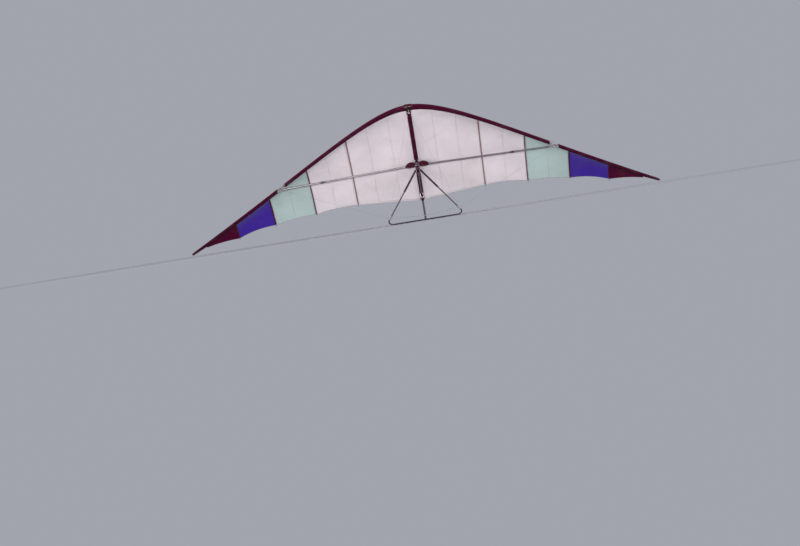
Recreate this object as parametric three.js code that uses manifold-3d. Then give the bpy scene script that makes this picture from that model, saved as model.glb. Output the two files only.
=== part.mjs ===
// A flexwing hang glider, parked on its base bar and the tail end of its keel, nose up.
// The wing is modelled flat in its own axes: x to the right, y aft along the keel, z up from the keel.
// The wing is then pitched so that bar and tail both touch the ground. All sizes are millimetres.
import * as THREE from 'three';
import { mergeVertices } from 'three/addons/utils/BufferGeometryUtils.js';
import Module from 'manifold-3d';

const wasm = await Module();
wasm.setup();

// Running clearance between pieces that touch on the real glider
const GAP = 0.3;

// How far a cutting body runs on beyond what it cuts
const OVERRUN = 20;

// Facets round a tube, a wider piece and a stay, and from pole to pole of an eye
const FACETS = 12;
const WIDE_FACETS = 16;
const STAY_FACETS = 6;
const EYE_ROWS = 8;

// Corners nearer than this are joined, and a station nearer than this to an end is left out
const WELD = 1e-4;
const LEAST_STEP = 1;

// Leading edge: a curved nose that runs out into a straight swept spar
const HALF_SPAN = 5200;
const SWEEP = 0.86;
const NOSE_BOW = 660;
const TIP_RISE = 310;
const SPAR_RADIUS = 22;
const TIP_CAP_LENGTH = 25;
const SPAR_STATIONS = [
  0, 40, 80, 150, 230, 320, 430, 560, 710, 900, 1130, 1376, 1390, 1620, 1850, 2090, 2306, 2320, 2580, 2830,
  2920, 3010, 3226, 3240, 3530, 3820, 4086, 4100, 4350, 4600, 4850, 5080, 5200,
];

// The pocket round the spar, open where the crossbar meets it, with a hem that is wider at the nose
const POCKET = { radius: 26, from: 80, to: 5190, taper: 0.55 };
const CUTOUT = { from: 2830, to: 3010 };
const HEM = { width: 72, extra: 80, run: 700 };

// Sail: the trailing edge at each batten, and how deep the cloth is hollowed from one batten to the next.
// Camber grows from the keel outwards, and a lead below 1 brings its deepest place forward.
const SAIL_THICKNESS = 6;
const SAIL_END = 4850;
const TRAILING_EDGE = [
  { x: 0, y: 2990, z: 29, hollow: 0 },
  { x: 1390, y: 2900, z: 100, hollow: 0 },
  { x: 2320, y: 3050, z: 150, hollow: 45 },
  { x: 3240, y: 3240, z: 200, hollow: 45 },
  { x: 4100, y: 3550, z: 250, hollow: 60 },
  { x: SAIL_END, y: 3722, z: 283, hollow: 30 },
];
const CAMBER = { share: 0.075, runIn: 350, lead: 0.7 };
const BATTEN = { width: 14, depth: 7, step: 0.5 };
const CHORD_STEPS = 10;
const KINGPOST_HOLE = { radius: 42, bottom: -100, top: 200 };

// Keel, crossbar and their brackets. A bracket's half is half its width, and its reach is half its length.
const KEEL = { radius: 22, from: 60, to: 3580, cap: 20 };
const KEEL_POCKET = { radius: 25.6, front: [150, 1704], middle: [1892, 2022], rear: [2078, 2960] };
const CROSSBAR = { radius: 19, y: 1750, z: -61.8, start: 8, sleeve: 22, sleeveFrom: 1960, sleeveTo: 2080 };
const CENTRE = { half: 34, reach: 36, bottom: -34 };
const SEAT = { half: 20, reach: 24, lift: 0.8, top: -30 };
const JUNCTION = { x: 2920, length: 110, half: 33, above: 32, below: 72 };
const CROSSBAR_END = { beyond: 15, aft: 20, below: 6 };
const NOSE_PLATE = { half: 74, shoulder: 44, back: 140, tail: 26, thickness: 5, lift: 22.8 };

// Control frame
const APEX = { y: 1850, z: -58, half: 40, reach: 36, spread: 24, drop: 6 };
const BASE_BAR = { y: 1700, z: -1600, straight: 660, bend: 90, radius: 14.3, arcSteps: 8 };
const CORNER = { radius: 18.5, length: 110, lip: 4 };
const DOWNTUBE_SLEEVE = { radius: 21, from: 60, to: 720 };

// Kingpost, rear wire fitting and stays. An eye is the ball that a stay ends on.
const KINGPOST = { radius: 12.7, top: 1040, eye: 26, eyeRadius: 12 };
const KINGPOST_CAP = { radius: 15, below: 10, above: 6, neck: 6 };
const REAR_TANG = { y: 3450, half: 20, wall: 6, eye: 12 };
const NOSE_EYES = { topY: 60, bottomY: 100 };
const WIRE_RADIUS = 1.3;
const EYE_RADIUS = 7;
const EYE_LIFT = 4;

// Hang point: a bracket under the keel, a webbing loop on its pin, and a carabiner in the loop
const HANG = { y: 2050, half: 30, reach: 22, bottom: -32 };
const LUG = { inner: 18, thickness: 5, reach: 16, below: 14, top: -28 };
const PIN = { z: -54, radius: 6, overhang: 9 };
const STRAP = { width: 25, thickness: 3, drop: 400 };
const CARABINER = { bar: 5, half: 28, length: 105, corner: 12, clear: 0.5 };

// Crossbar boots: padded covers at the inner ends of the crossbar, fuller ahead of and above it.
// Their rings stand square to the x axis, so the bore is eased for the slant of the crossbar.
const BOOT = { from: 45, length: 200, radius: 68, ahead: 18, rise: 10, hem: 2, ease: 1.006 };
const BOOT_SWELL = { lead: 0.8, fullness: 0.8 };
const BOOT_STATIONS = [0, 0.12, 0.3, 0.5, 0.72, 0.9, 1];

const COLOURS = {
  white: 0xd7cdd4, turquoise: 0xb2c3c4, blue: 0x3c1a9c, maroon: 0x5c0f35, band: 0x5a1830,
  aluminium: 0xa8a5a8, dark: 0x1c1b20, boot: 0x6b1a2a, wire: 0x77777c, webbing: 0x20202c, steel: 0xb9babd,
};
const SHEENS = {
  cloth: { roughness: 0.75, metalness: 0 },
  metal: { roughness: 0.35, metalness: 1 },
  rubber: { roughness: 0.7, metalness: 0 },
};

const wing = new THREE.Group();

function vector(x, y, z) {
  return new THREE.Vector3(x, y, z);
}

// Adds a named sub-part of one colour and sheen to a group
function place(name, geometry, colour, sheen, parent = wing) {
  const material = new THREE.MeshStandardMaterial({ color: COLOURS[colour], ...SHEENS[sheen] });
  const mesh = new THREE.Mesh(geometry, material);
  mesh.name = name;
  parent.add(mesh);
}

// Makes a closed geometry from points and triangles, with its faces turned outwards
function closed(points, triangles) {
  let volume = 0;
  for (const [a, b, c] of triangles) {
    volume += points[a].dot(points[b].clone().cross(points[c]));
  }
  const index = triangles.flatMap(([a, b, c]) => (volume > 0 ? [a, b, c] : [a, c, b]));
  const places = points.flatMap((p) => p.toArray());
  const geometry = new THREE.BufferGeometry();
  geometry.setAttribute('position', new THREE.Float32BufferAttribute(places, 3));
  geometry.setIndex(index);
  return geometry;
}

// A solid through rings of equal count. A second set of rings makes a bore from end to end.
function loft(rings, bore = null) {
  const points = [];
  const triangles = [];
  const quad = (a, b, c, d) => triangles.push([a, b, c], [a, c, d]);
  const rows = (set) => set.map((ring) => ring.map((p) => points.push(p) - 1));
  const outer = rows(rings);
  const inner = bore && rows(bore);
  const count = rings[0].length;
  const last = rings.length - 1;
  for (let j = 0; j < count; j += 1) {
    const k = (j + 1) % count;
    for (let i = 0; i < last; i += 1) {
      quad(outer[i][j], outer[i][k], outer[i + 1][k], outer[i + 1][j]);
      if (inner) {
        quad(inner[i][j], inner[i + 1][j], inner[i + 1][k], inner[i][k]);
      }
    }
    if (inner) {
      quad(outer[0][k], outer[0][j], inner[0][j], inner[0][k]);
      quad(outer[last][j], outer[last][k], inner[last][k], inner[last][j]);
    } else if (j > 0 && j < count - 1) {
      triangles.push([outer[0][0], outer[0][k], outer[0][j]]);
      triangles.push([outer[last][0], outer[last][j], outer[last][k]]);
    }
  }
  return closed(points, triangles);
}

// The radius of the corners of a ring whose flats lie at the given radius
function around(radius, facets = FACETS) {
  return radius / Math.cos(Math.PI / facets);
}

// A round tube along a path, bored through where a bore radius is given
function pipe(path, radius, facets = FACETS, bore = 0) {
  const tangents = path.map((p, i) => {
    const before = i > 0 ? p.clone().sub(path[i - 1]).normalize() : vector(0, 0, 0);
    const after = i < path.length - 1 ? path[i + 1].clone().sub(p).normalize() : vector(0, 0, 0);
    return before.add(after).normalize();
  });
  const steep = Math.abs(tangents[0].z) > 0.9;
  let side = vector(steep ? 1 : 0, 0, steep ? 0 : 1).cross(tangents[0]).normalize();
  const frames = tangents.map((tangent) => {
    side = side.clone().addScaledVector(tangent, -side.dot(tangent)).normalize();
    return { side, up: tangent.clone().cross(side) };
  });
  const rings = (r) => path.map((p, i) => Array.from({ length: facets }, (_, j) => {
    const angle = (2 * Math.PI * (j + 0.5)) / facets;
    return p.clone().addScaledVector(frames[i].side, r * Math.cos(angle))
      .addScaledVector(frames[i].up, r * Math.sin(angle));
  }));
  return loft(rings(radius), bore ? rings(around(bore, facets)) : null);
}

// A thin solid below a grid of points, as deep at each point as its own depth
function sheet(grid) {
  const rows = grid.length;
  const columns = grid[0].length;
  const points = grid.flat().map(({ point }) => point);
  points.push(...grid.flat().map(({ point, depth }) => vector(point.x, point.y, point.z - depth)));
  const top = (i, j) => i * columns + j;
  const low = (i, j) => rows * columns + top(i, j);
  const triangles = [];
  const quad = (a, b, c, d) => triangles.push([a, b, c], [a, c, d]);
  for (let i = 0; i < rows - 1; i += 1) {
    for (let j = 0; j < columns - 1; j += 1) {
      quad(top(i, j), top(i + 1, j), top(i + 1, j + 1), top(i, j + 1));
      quad(low(i, j), low(i, j + 1), low(i + 1, j + 1), low(i + 1, j));
    }
    quad(top(i + 1, 0), top(i, 0), low(i, 0), low(i + 1, 0));
    quad(top(i, columns - 1), top(i + 1, columns - 1), low(i + 1, columns - 1), low(i, columns - 1));
  }
  for (let j = 0; j < columns - 1; j += 1) {
    quad(top(0, j), top(0, j + 1), low(0, j + 1), low(0, j));
    quad(top(rows - 1, j + 1), top(rows - 1, j), low(rows - 1, j), low(rows - 1, j + 1));
  }
  return closed(points, triangles);
}

// Solids for cutting and joining, and the way back to a geometry
function solid(geometry) {
  const bare = geometry.clone();
  bare.deleteAttribute('normal');
  bare.deleteAttribute('uv');
  const merged = mergeVertices(bare, WELD);
  return new wasm.Manifold(new wasm.Mesh({
    numProp: 3,
    vertProperties: new Float32Array(merged.attributes.position.array),
    triVerts: new Uint32Array(merged.index.array),
  }));
}

function geometryOf(manifold) {
  const mesh = manifold.getMesh();
  const geometry = new THREE.BufferGeometry();
  geometry.setAttribute('position', new THREE.Float32BufferAttribute(mesh.vertProperties, 3));
  geometry.setIndex(new THREE.Uint32BufferAttribute(mesh.triVerts, 1));
  return geometry;
}

function join(...geometries) {
  return geometryOf(geometries.map(solid).reduce((all, next) => all.add(next)));
}

function cut(geometry, ...tools) {
  return geometryOf(tools.map(solid).reduce((left, tool) => left.subtract(tool), solid(geometry)));
}

function block(from, to) {
  const size = to.clone().sub(from);
  const middle = from.clone().add(to).multiplyScalar(0.5);
  return new THREE.BoxGeometry(size.x, size.y, size.z).translate(middle.x, middle.y, middle.z);
}

function ball(centre, radius = EYE_RADIUS) {
  return new THREE.SphereGeometry(radius, FACETS, EYE_ROWS).translate(...centre.toArray());
}

// The leading edge spar's axis at a distance from the keel, and how much the sweep lengthens its sections
function spar(x) {
  const slope = SWEEP * (1 - Math.exp(-x / NOSE_BOW));
  return {
    y: SWEEP * (x - NOSE_BOW * (1 - Math.exp(-x / NOSE_BOW))),
    z: TIP_RISE * (x / HALF_SPAN) ** 2,
    stretch: Math.hypot(1, slope),
    slope,
  };
}

// Where the pocket's hem meets the sail
function hem(x) {
  const axis = spar(x);
  return {
    y: axis.y + HEM.width + HEM.extra * Math.exp(-x / HEM.run),
    z: axis.z + TRAILING_EDGE[0].z * Math.exp(-x / CAMBER.runIn),
  };
}

function sparRing(side, x, radius) {
  const axis = spar(x);
  return Array.from({ length: FACETS }, (_, j) => {
    const angle = (2 * Math.PI * (j + 0.5)) / FACETS;
    const y = axis.y + axis.stretch * radius * Math.cos(angle);
    return vector(side * x, y, axis.z + radius * Math.sin(angle));
  });
}

function stationsBetween(from, to) {
  return [from, ...SPAR_STATIONS.filter((x) => x > from + LEAST_STEP && x < to - LEAST_STEP), to];
}

function sparLoft(side, from, to, radius) {
  return loft(stationsBetween(from, to).map((x) => sparRing(side, x, radius)));
}

// The pocket is a sleeve round the spar whose hem runs aft to the sail, and narrows beyond the sail's end
function pocket(side, from, to) {
  const stations = stationsBetween(from, to);
  const outer = stations.map((x) => {
    const axis = spar(x);
    const ring = sparRing(side, x, POCKET.radius);
    const edge = hem(x);
    const beyond = Math.max(0, (x - SAIL_END) / (POCKET.to - SAIL_END));
    const reach = (edge.y - axis.y) * (1 - beyond * (1 - POCKET.taper));
    for (const [j, lift] of [[0, SAIL_THICKNESS / 2], [FACETS - 1, -SAIL_THICKNESS / 2]]) {
      ring[j] = vector(side * x, axis.y + reach, edge.z + lift);
    }
    return ring;
  });
  const bore = stations.map((x) => sparRing(side, x, SPAR_RADIUS + around(GAP)));
  return loft(outer, bore);
}

// The trailing edge at a distance from the keel, hollowed between battens
function trailing(x) {
  const k = Math.max(1, TRAILING_EDGE.findIndex((row) => row.x >= x - WELD));
  const [a, b] = [TRAILING_EDGE[k - 1], TRAILING_EDGE[k]];
  const t = (x - a.x) / (b.x - a.x);
  return { y: a.y + t * (b.y - a.y) - 4 * b.hollow * t * (1 - t), z: a.z + t * (b.z - a.z) };
}

// A point of the sail's middle surface: t runs from the hem to the trailing edge
function sailPoint(x, t) {
  const front = hem(x);
  const back = trailing(x);
  const chord = back.y - front.y - GAP;
  const camber = CAMBER.share * (1 - Math.exp(-x / CAMBER.runIn)) * Math.sin(Math.PI * t ** CAMBER.lead);
  return { y: front.y + GAP + t * chord, z: front.z + t * (back.z - front.z) + camber * chord };
}

// A sail panel from one batten to the next, with the outer batten's pocket along its edge
function panel(side, from, to, batten) {
  const inner = from + GAP / 2;
  const outer = to - GAP / 2;
  const edge = to - BATTEN.width;
  const stations = stationsBetween(inner, batten ? edge : outer).map((x) => ({ x, depth: SAIL_THICKNESS }));
  if (batten) {
    stations.push({ x: edge + BATTEN.step, depth: SAIL_THICKNESS + BATTEN.depth });
    stations.push({ x: outer, depth: SAIL_THICKNESS + BATTEN.depth });
  }
  const grid = stations.map(({ x, depth }) => Array.from({ length: CHORD_STEPS + 1 }, (_, j) => {
    const { y, z } = sailPoint(x, j / CHORD_STEPS);
    return { point: vector(side * x, y, z + SAIL_THICKNESS / 2), depth: j ? depth : SAIL_THICKNESS };
  }));
  return sheet(grid);
}

const PANELS = [
  { name: 'root', colour: 'white', batten: true },
  { name: 'inner', colour: 'white', batten: true },
  { name: 'middle', colour: 'turquoise', batten: true },
  { name: 'outer', colour: 'blue', batten: true },
  { name: 'tip', colour: 'maroon', batten: false },
];

// A tube on the keel's axis
function keelPipe(from, to, radius, bore = 0) {
  return pipe([vector(0, from, 0), vector(0, to, 0)], radius, WIDE_FACETS, bore);
}

const keelBore = keelPipe(0, KEEL.to + OVERRUN, around(KEEL.radius + GAP, WIDE_FACETS));

// A saddle under the keel that reaches up both of its sides
function saddle(centreY, { half, reach, bottom }) {
  const whole = block(vector(-half, centreY - reach, bottom), vector(half, centreY + reach, KEEL.radius));
  const beyond = reach + OVERRUN;
  const slotTop = vector(KEEL.radius, centreY + beyond, KEEL.radius + OVERRUN);
  return cut(whole, keelBore, block(vector(-KEEL.radius, centreY - beyond, 0), slotTop));
}

function buildKeel() {
  place('keel_tube', keelPipe(KEEL.from, KEEL.to, KEEL.radius), 'aluminium', 'metal');
  place('keel_tail_cap', keelPipe(KEEL.to + GAP, KEEL.to + KEEL.cap, KEEL.radius), 'dark', 'rubber');
  for (const part of ['front', 'middle', 'rear']) {
    const sleeve = keelPipe(...KEEL_POCKET[part], KEEL_POCKET.radius, KEEL.radius + GAP);
    place(`keel_pocket_${part}`, sleeve, 'band', 'cloth');
  }
}

// Nose plates above and below the ends of the spars and the keel
const noseEyes = {
  top: vector(0, NOSE_EYES.topY, NOSE_PLATE.lift + NOSE_PLATE.thickness + EYE_LIFT),
  bottom: vector(0, NOSE_EYES.bottomY, -NOSE_PLATE.lift - NOSE_PLATE.thickness - EYE_LIFT),
};

function buildNose() {
  const { half, shoulder, back, tail, thickness, lift } = NOSE_PLATE;
  const corners = [
    [-half, -SPAR_RADIUS], [half, -SPAR_RADIUS], [half, shoulder],
    [tail, back], [-tail, back], [-half, shoulder],
  ];
  const outline = new THREE.Shape(corners.map(([x, y]) => new THREE.Vector2(x, y)));
  const plate = new THREE.ExtrudeGeometry(outline, { depth: thickness, bevelEnabled: false });
  const upper = plate.clone().translate(0, 0, lift);
  const lower = plate.clone().translate(0, 0, -lift - thickness);
  place('nose_plate_top', join(upper, ball(noseEyes.top)), 'steel', 'metal');
  place('nose_plate_bottom', join(lower, ball(noseEyes.bottom)), 'steel', 'metal');
}

const SIDES = [{ tag: 'right', side: 1 }, { tag: 'left', side: -1 }];

// The crossbar runs from the centre bracket to the underside of the spar
const sparAtJunction = spar(JUNCTION.x);
const crossbarEnd = {
  x: JUNCTION.x + CROSSBAR_END.beyond,
  y: sparAtJunction.y + CROSSBAR_END.aft,
  z: sparAtJunction.z - SPAR_RADIUS - CROSSBAR.radius - CROSSBAR_END.below,
};

function crossbarPoint(side, x) {
  const t = (x - CROSSBAR.start) / (crossbarEnd.x - CROSSBAR.start);
  const y = CROSSBAR.y + t * (crossbarEnd.y - CROSSBAR.y);
  const z = CROSSBAR.z + t * (crossbarEnd.z - CROSSBAR.z);
  return vector(side * x, y, z);
}

function junctionEye(side, above) {
  const offset = above ? JUNCTION.above + EYE_LIFT : -JUNCTION.below - EYE_LIFT;
  return vector(side * JUNCTION.x, sparAtJunction.y, sparAtJunction.z + offset);
}

function buildSpars({ tag, side }) {
  place(`leading_edge_tube_${tag}`, sparLoft(side, GAP / 2, HALF_SPAN, SPAR_RADIUS), 'aluminium', 'metal');
  const cap = sparLoft(side, HALF_SPAN + GAP, HALF_SPAN + TIP_CAP_LENGTH, SPAR_RADIUS);
  place(`tip_cap_${tag}`, cap, 'dark', 'rubber');
  place(`leading_edge_pocket_inner_${tag}`, pocket(side, POCKET.from, CUTOUT.from), 'band', 'cloth');
  place(`leading_edge_pocket_outer_${tag}`, pocket(side, CUTOUT.to, POCKET.to), 'band', 'cloth');
}

function buildSail({ tag, side }) {
  const { radius, bottom, top } = KINGPOST_HOLE;
  const hole = pipe([vector(0, CROSSBAR.y, bottom), vector(0, CROSSBAR.y, top)], radius, WIDE_FACETS);
  PANELS.forEach(({ name, colour, batten }, k) => {
    const geometry = panel(side, TRAILING_EDGE[k].x, TRAILING_EDGE[k + 1].x, batten);
    place(`sail_${name}_${tag}`, k ? geometry : cut(geometry, hole), colour, 'cloth');
  });
}

// A tube on the crossbar's axis
function crossbarPipe(side, from, to, radius) {
  return pipe([crossbarPoint(side, from), crossbarPoint(side, to)], radius);
}

function buildCrossbar({ tag, side }) {
  const tube = crossbarPipe(side, CROSSBAR.start, crossbarEnd.x, CROSSBAR.radius);
  const sleeve = crossbarPipe(side, CROSSBAR.sleeveFrom, CROSSBAR.sleeveTo, CROSSBAR.sleeve);
  place(`crossbar_${tag}`, join(tube, sleeve), 'aluminium', 'metal');
}

// The bracket holds the spar and the crossbar's outer end, turned to lie along the spar
function buildJunction({ tag, side }) {
  const turn = Math.atan(sparAtJunction.slope);
  const { length, half, above, below } = JUNCTION;
  const clamp = new THREE.BoxGeometry(length, 2 * half, above + below);
  clamp.rotateZ(side * turn);
  clamp.translate(side * JUNCTION.x, sparAtJunction.y, sparAtJunction.z + (above - below) / 2);
  const body = join(clamp, ball(junctionEye(side, true)), ball(junctionEye(side, false)));
  const sparBore = sparLoft(side, CUTOUT.from - OVERRUN, CUTOUT.to + OVERRUN, SPAR_RADIUS + around(GAP));
  const barBore = crossbarPipe(side, CROSSBAR.start, crossbarEnd.x + GAP, around(CROSSBAR.radius + GAP));
  place(`junction_bracket_${tag}`, cut(body, sparBore, barBore), 'aluminium', 'metal');
}

function buildBoot({ tag, side }) {
  const inner = BOOT.ease * around(CROSSBAR.radius + GAP, WIDE_FACETS);
  const ring = (t, radius, swell) => Array.from({ length: WIDE_FACETS }, (_, j) => {
    const angle = (2 * Math.PI * (j + 0.5)) / WIDE_FACETS;
    const y = radius * Math.cos(angle) - swell * BOOT.ahead;
    const z = radius * Math.sin(angle) + swell * BOOT.rise;
    return crossbarPoint(side, BOOT.from + t * BOOT.length).add(vector(0, y, z));
  });
  const ends = inner + BOOT.hem;
  const skin = BOOT_STATIONS.map((t) => {
    const swell = Math.sin(Math.PI * t ** BOOT_SWELL.lead) ** BOOT_SWELL.fullness;
    return ring(t, ends + (BOOT.radius - ends) * swell, swell);
  });
  const bore = BOOT_STATIONS.map((t) => ring(t, inner, 0));
  place(`crossbar_boot_${tag}`, loft(skin, bore), 'boot', 'cloth');
}

// The centre bracket's seat stands on the crossbar's inner ends
function buildCentre() {
  const seatBottom = CROSSBAR.z + CROSSBAR.radius + SEAT.lift;
  const seat = block(
    vector(-SEAT.half, CROSSBAR.y - SEAT.reach, seatBottom),
    vector(SEAT.half, CROSSBAR.y + SEAT.reach, SEAT.top),
  );
  place('centre_bracket', join(saddle(CROSSBAR.y, CENTRE), seat), 'aluminium', 'metal');
  place('apex_bracket', saddle(APEX.y, { ...APEX, bottom: APEX.z }), 'aluminium', 'metal');
}

// The control frame lies in one plane, tipped forward a little at its foot. h is measured down from the apex.
const frameDrop = Math.hypot(APEX.y - BASE_BAR.y, APEX.z - BASE_BAR.z);
const frameRake = Math.atan2(APEX.y - BASE_BAR.y, APEX.z - BASE_BAR.z);

function framePoint(side, x, h) {
  return vector(side * x, APEX.y - h * Math.sin(frameRake), APEX.z - h * Math.cos(frameRake));
}

// The bend ends where its tangent runs up to the apex, found by repeated substitution
function bendAngle() {
  let lean = 0.4;
  for (let round = 0; round < 12; round += 1) {
    const x = BASE_BAR.straight + BASE_BAR.bend * Math.cos(lean);
    const h = frameDrop - BASE_BAR.bend - BASE_BAR.bend * Math.sin(lean);
    lean = Math.atan2(x - APEX.spread, h);
  }
  return lean;
}

const lean = bendAngle();
const tubeTop = { x: APEX.spread, h: GAP + BASE_BAR.radius * Math.sin(lean) + APEX.drop };
const tubeFoot = {
  x: BASE_BAR.straight + BASE_BAR.bend * Math.cos(lean),
  h: frameDrop - BASE_BAR.bend - BASE_BAR.bend * Math.sin(lean),
};
const tubeLength = Math.hypot(tubeFoot.x - tubeTop.x, tubeFoot.h - tubeTop.h);

function alongTube(side, distance) {
  const t = distance / tubeLength;
  const x = tubeTop.x + t * (tubeFoot.x - tubeTop.x);
  return framePoint(side, x, tubeTop.h + t * (tubeFoot.h - tubeTop.h));
}

// A tube on a downtube's axis, between two distances from its top
function framePipe(side, from, to, radius, bore = 0) {
  return pipe([alongTube(side, from), alongTube(side, to)], radius, FACETS, bore);
}

function cornerEye(side) {
  const axis = alongTube(side, tubeLength - CORNER.length / 2);
  const outward = framePoint(side, Math.cos(lean), -Math.sin(lean)).sub(framePoint(side, 0, 0));
  return axis.addScaledVector(outward, CORNER.radius + EYE_LIFT);
}

// The base bar's bent end on one side, up to a quarter of the corner fitting's length
function barEnd({ side }) {
  const { straight, bend, arcSteps } = BASE_BAR;
  const arc = Array.from({ length: arcSteps + 1 }, (_, k) => {
    const angle = -Math.PI / 2 + (k / arcSteps) * (Math.PI / 2 + lean);
    return framePoint(side, straight + bend * Math.cos(angle), frameDrop - bend - bend * Math.sin(angle));
  });
  return [...arc, alongTube(side, tubeLength - CORNER.length / 4)];
}

function buildControlFrame() {
  const [right, left] = SIDES.map(barEnd);
  place('base_bar', pipe([...left.reverse(), ...right], BASE_BAR.radius), 'dark', 'rubber');
  const clearance = BASE_BAR.radius + GAP;
  for (const { tag, side } of SIDES) {
    const tube = framePipe(side, 0, tubeLength - CORNER.length / 4 - GAP, BASE_BAR.radius);
    place(`downtube_${tag}`, tube, 'aluminium', 'metal');
    const { radius, from, to } = DOWNTUBE_SLEEVE;
    place(`downtube_sleeve_${tag}`, framePipe(side, from, to, radius, clearance), 'dark', 'rubber');
    const top = tubeLength - CORNER.length;
    const fitting = framePipe(side, top, tubeLength - CORNER.lip, CORNER.radius);
    const bore = framePipe(side, top - OVERRUN, tubeLength + OVERRUN, around(clearance));
    const corner = cut(join(fitting, ball(cornerEye(side))), bore);
    place(`corner_fitting_${tag}`, corner, 'aluminium', 'metal');
  }
}

const kingpostEye = vector(0, CROSSBAR.y, KINGPOST.top + KINGPOST.eye);
const rearEyes = {
  top: vector(0, REAR_TANG.y, KEEL.radius + REAR_TANG.eye),
  bottom: vector(0, REAR_TANG.y, -KEEL.radius - REAR_TANG.eye),
};

// A tube on the kingpost's axis
function mastPipe(bottom, top, radius) {
  return pipe([vector(0, CROSSBAR.y, bottom), vector(0, CROSSBAR.y, top)], radius);
}

function buildKingpost() {
  const { radius, below, above, neck } = KINGPOST_CAP;
  const postTop = KINGPOST.top - below;
  place('kingpost', mastPipe(KEEL.radius + GAP, postTop, KINGPOST.radius), 'aluminium', 'metal');
  const cap = mastPipe(postTop + GAP, KINGPOST.top + above, radius);
  const stem = mastPipe(KINGPOST.top, kingpostEye.z, neck);
  place('kingpost_cap', join(cap, stem, ball(kingpostEye, KINGPOST.eyeRadius)), 'steel', 'metal');
}

function buildRearTang() {
  const { y, half, wall } = REAR_TANG;
  const collar = keelPipe(y - half, y + half, KEEL.radius + wall);
  const ring = join(collar, ball(rearEyes.top), ball(rearEyes.bottom));
  place('rear_wire_tang', cut(ring, keelBore), 'steel', 'metal');
}

// A stay between two eyes, ending just short of each
function stay(name, from, to, startRadius = EYE_RADIUS) {
  const along = to.clone().sub(from).normalize();
  const path = [
    from.clone().addScaledVector(along, startRadius + GAP),
    to.clone().addScaledVector(along, -EYE_RADIUS - GAP),
  ];
  place(name, pipe(path, WIRE_RADIUS, STAY_FACETS), 'wire', 'metal');
}

function buildStays() {
  stay('upper_front_wire', kingpostEye, noseEyes.top, KINGPOST.eyeRadius);
  stay('upper_rear_wire', kingpostEye, rearEyes.top, KINGPOST.eyeRadius);
  for (const { tag, side } of SIDES) {
    stay(`upper_side_wire_${tag}`, kingpostEye, junctionEye(side, true), KINGPOST.eyeRadius);
    stay(`lower_side_wire_${tag}`, cornerEye(side), junctionEye(side, false));
    stay(`lower_front_wire_${tag}`, cornerEye(side), noseEyes.bottom);
    stay(`lower_rear_wire_${tag}`, cornerEye(side), rearEyes.bottom);
  }
}

// A round-ended ring outline of a given half width between two heights
function stadium(half, top, bottom, steps = 8) {
  const arc = (centre, start) => Array.from({ length: steps + 1 }, (_, k) => {
    const angle = start + (Math.PI * k) / steps;
    return new THREE.Vector2(half * Math.cos(angle), centre + half * Math.sin(angle));
  });
  return [...arc(top, 0), ...arc(bottom, Math.PI)];
}

function buildHangBracket() {
  const { inner, thickness, reach, below, top } = LUG;
  const lugs = [inner, -inner - thickness].map((x) => block(
    vector(x, HANG.y - reach, PIN.z - below),
    vector(x + thickness, HANG.y + reach, top),
  ));
  const pinEnd = inner + PIN.overhang;
  const pin = pipe([vector(-pinEnd, HANG.y, PIN.z), vector(pinEnd, HANG.y, PIN.z)], PIN.radius);
  place('hang_bracket', join(saddle(HANG.y, HANG), ...lugs, pin), 'aluminium', 'metal');
}

// The loop runs over the pin and down to a round lower end, its width along the pin
function strapLoop(inner) {
  const outline = new THREE.Shape(stadium(inner + STRAP.thickness, 0, -STRAP.drop));
  outline.holes.push(new THREE.Path(stadium(inner, 0, -STRAP.drop)));
  const loop = new THREE.ExtrudeGeometry(outline, { depth: STRAP.width, bevelEnabled: false });
  loop.translate(0, 0, -STRAP.width / 2);
  loop.rotateX(Math.PI / 2);
  loop.rotateZ(Math.PI / 2);
  return loop;
}

// A round-cornered ring of round bar. Each corner has a side, a depth below the top and a first quarter turn.
function carabinerRing(top) {
  const { bar, half, length, corner } = CARABINER;
  const low = 2 * corner - length;
  const steps = 4;
  const corners = [[1, 0, 0], [-1, 0, 1], [-1, low, 2], [1, low, 3]];
  const path = corners.flatMap(([s, fall, turn]) => Array.from({ length: steps + 1 }, (_, k) => {
    const angle = (Math.PI / 2) * (turn + k / steps);
    const x = s * (half - corner) + corner * Math.cos(angle);
    return vector(x, 0, top - corner + fall + corner * Math.sin(angle));
  }));
  return closedPipe(path, bar);
}

// The strap and the carabiner hang straight down however the wing is pitched
function buildHangingPieces(pitch) {
  const hanging = new THREE.Group();
  hanging.position.set(0, HANG.y, PIN.z);
  hanging.rotation.x = pitch;
  wing.add(hanging);
  const inner = around(PIN.radius) + GAP;
  place('hang_strap', strapLoop(inner), 'webbing', 'cloth', hanging);
  const ringTop = CARABINER.bar + CARABINER.clear - STRAP.drop - inner;
  place('carabiner', carabinerRing(ringTop), 'steel', 'metal', hanging);
}

// A round bar bent into a closed ring in the xz plane
function closedPipe(path, radius, facets = 8) {
  const count = path.length;
  const rings = Array.from({ length: count }, (_, i) => {
    const here = path[i];
    const before = here.clone().sub(path[(i + count - 1) % count]).normalize();
    const after = path[(i + 1) % count].clone().sub(here).normalize();
    const tangent = before.add(after).normalize();
    const side = tangent.clone().cross(vector(0, 1, 0)).normalize();
    return Array.from({ length: facets }, (_, j) => {
      const angle = (2 * Math.PI * (j + 0.5)) / facets;
      const outward = side.clone().multiplyScalar(radius * Math.cos(angle));
      return here.clone().add(outward).add(vector(0, radius * Math.sin(angle), 0));
    });
  });
  const triangles = [];
  for (let i = 0; i < count; i += 1) {
    const next = (i + 1) % count;
    for (let j = 0; j < facets; j += 1) {
      const k = (j + 1) % facets;
      const [a, b, c, d] = [i * facets + j, i * facets + k, next * facets + k, next * facets + j];
      triangles.push([a, b, c], [a, c, d]);
    }
  }
  return closed(rings.flat(), triangles);
}

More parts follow.
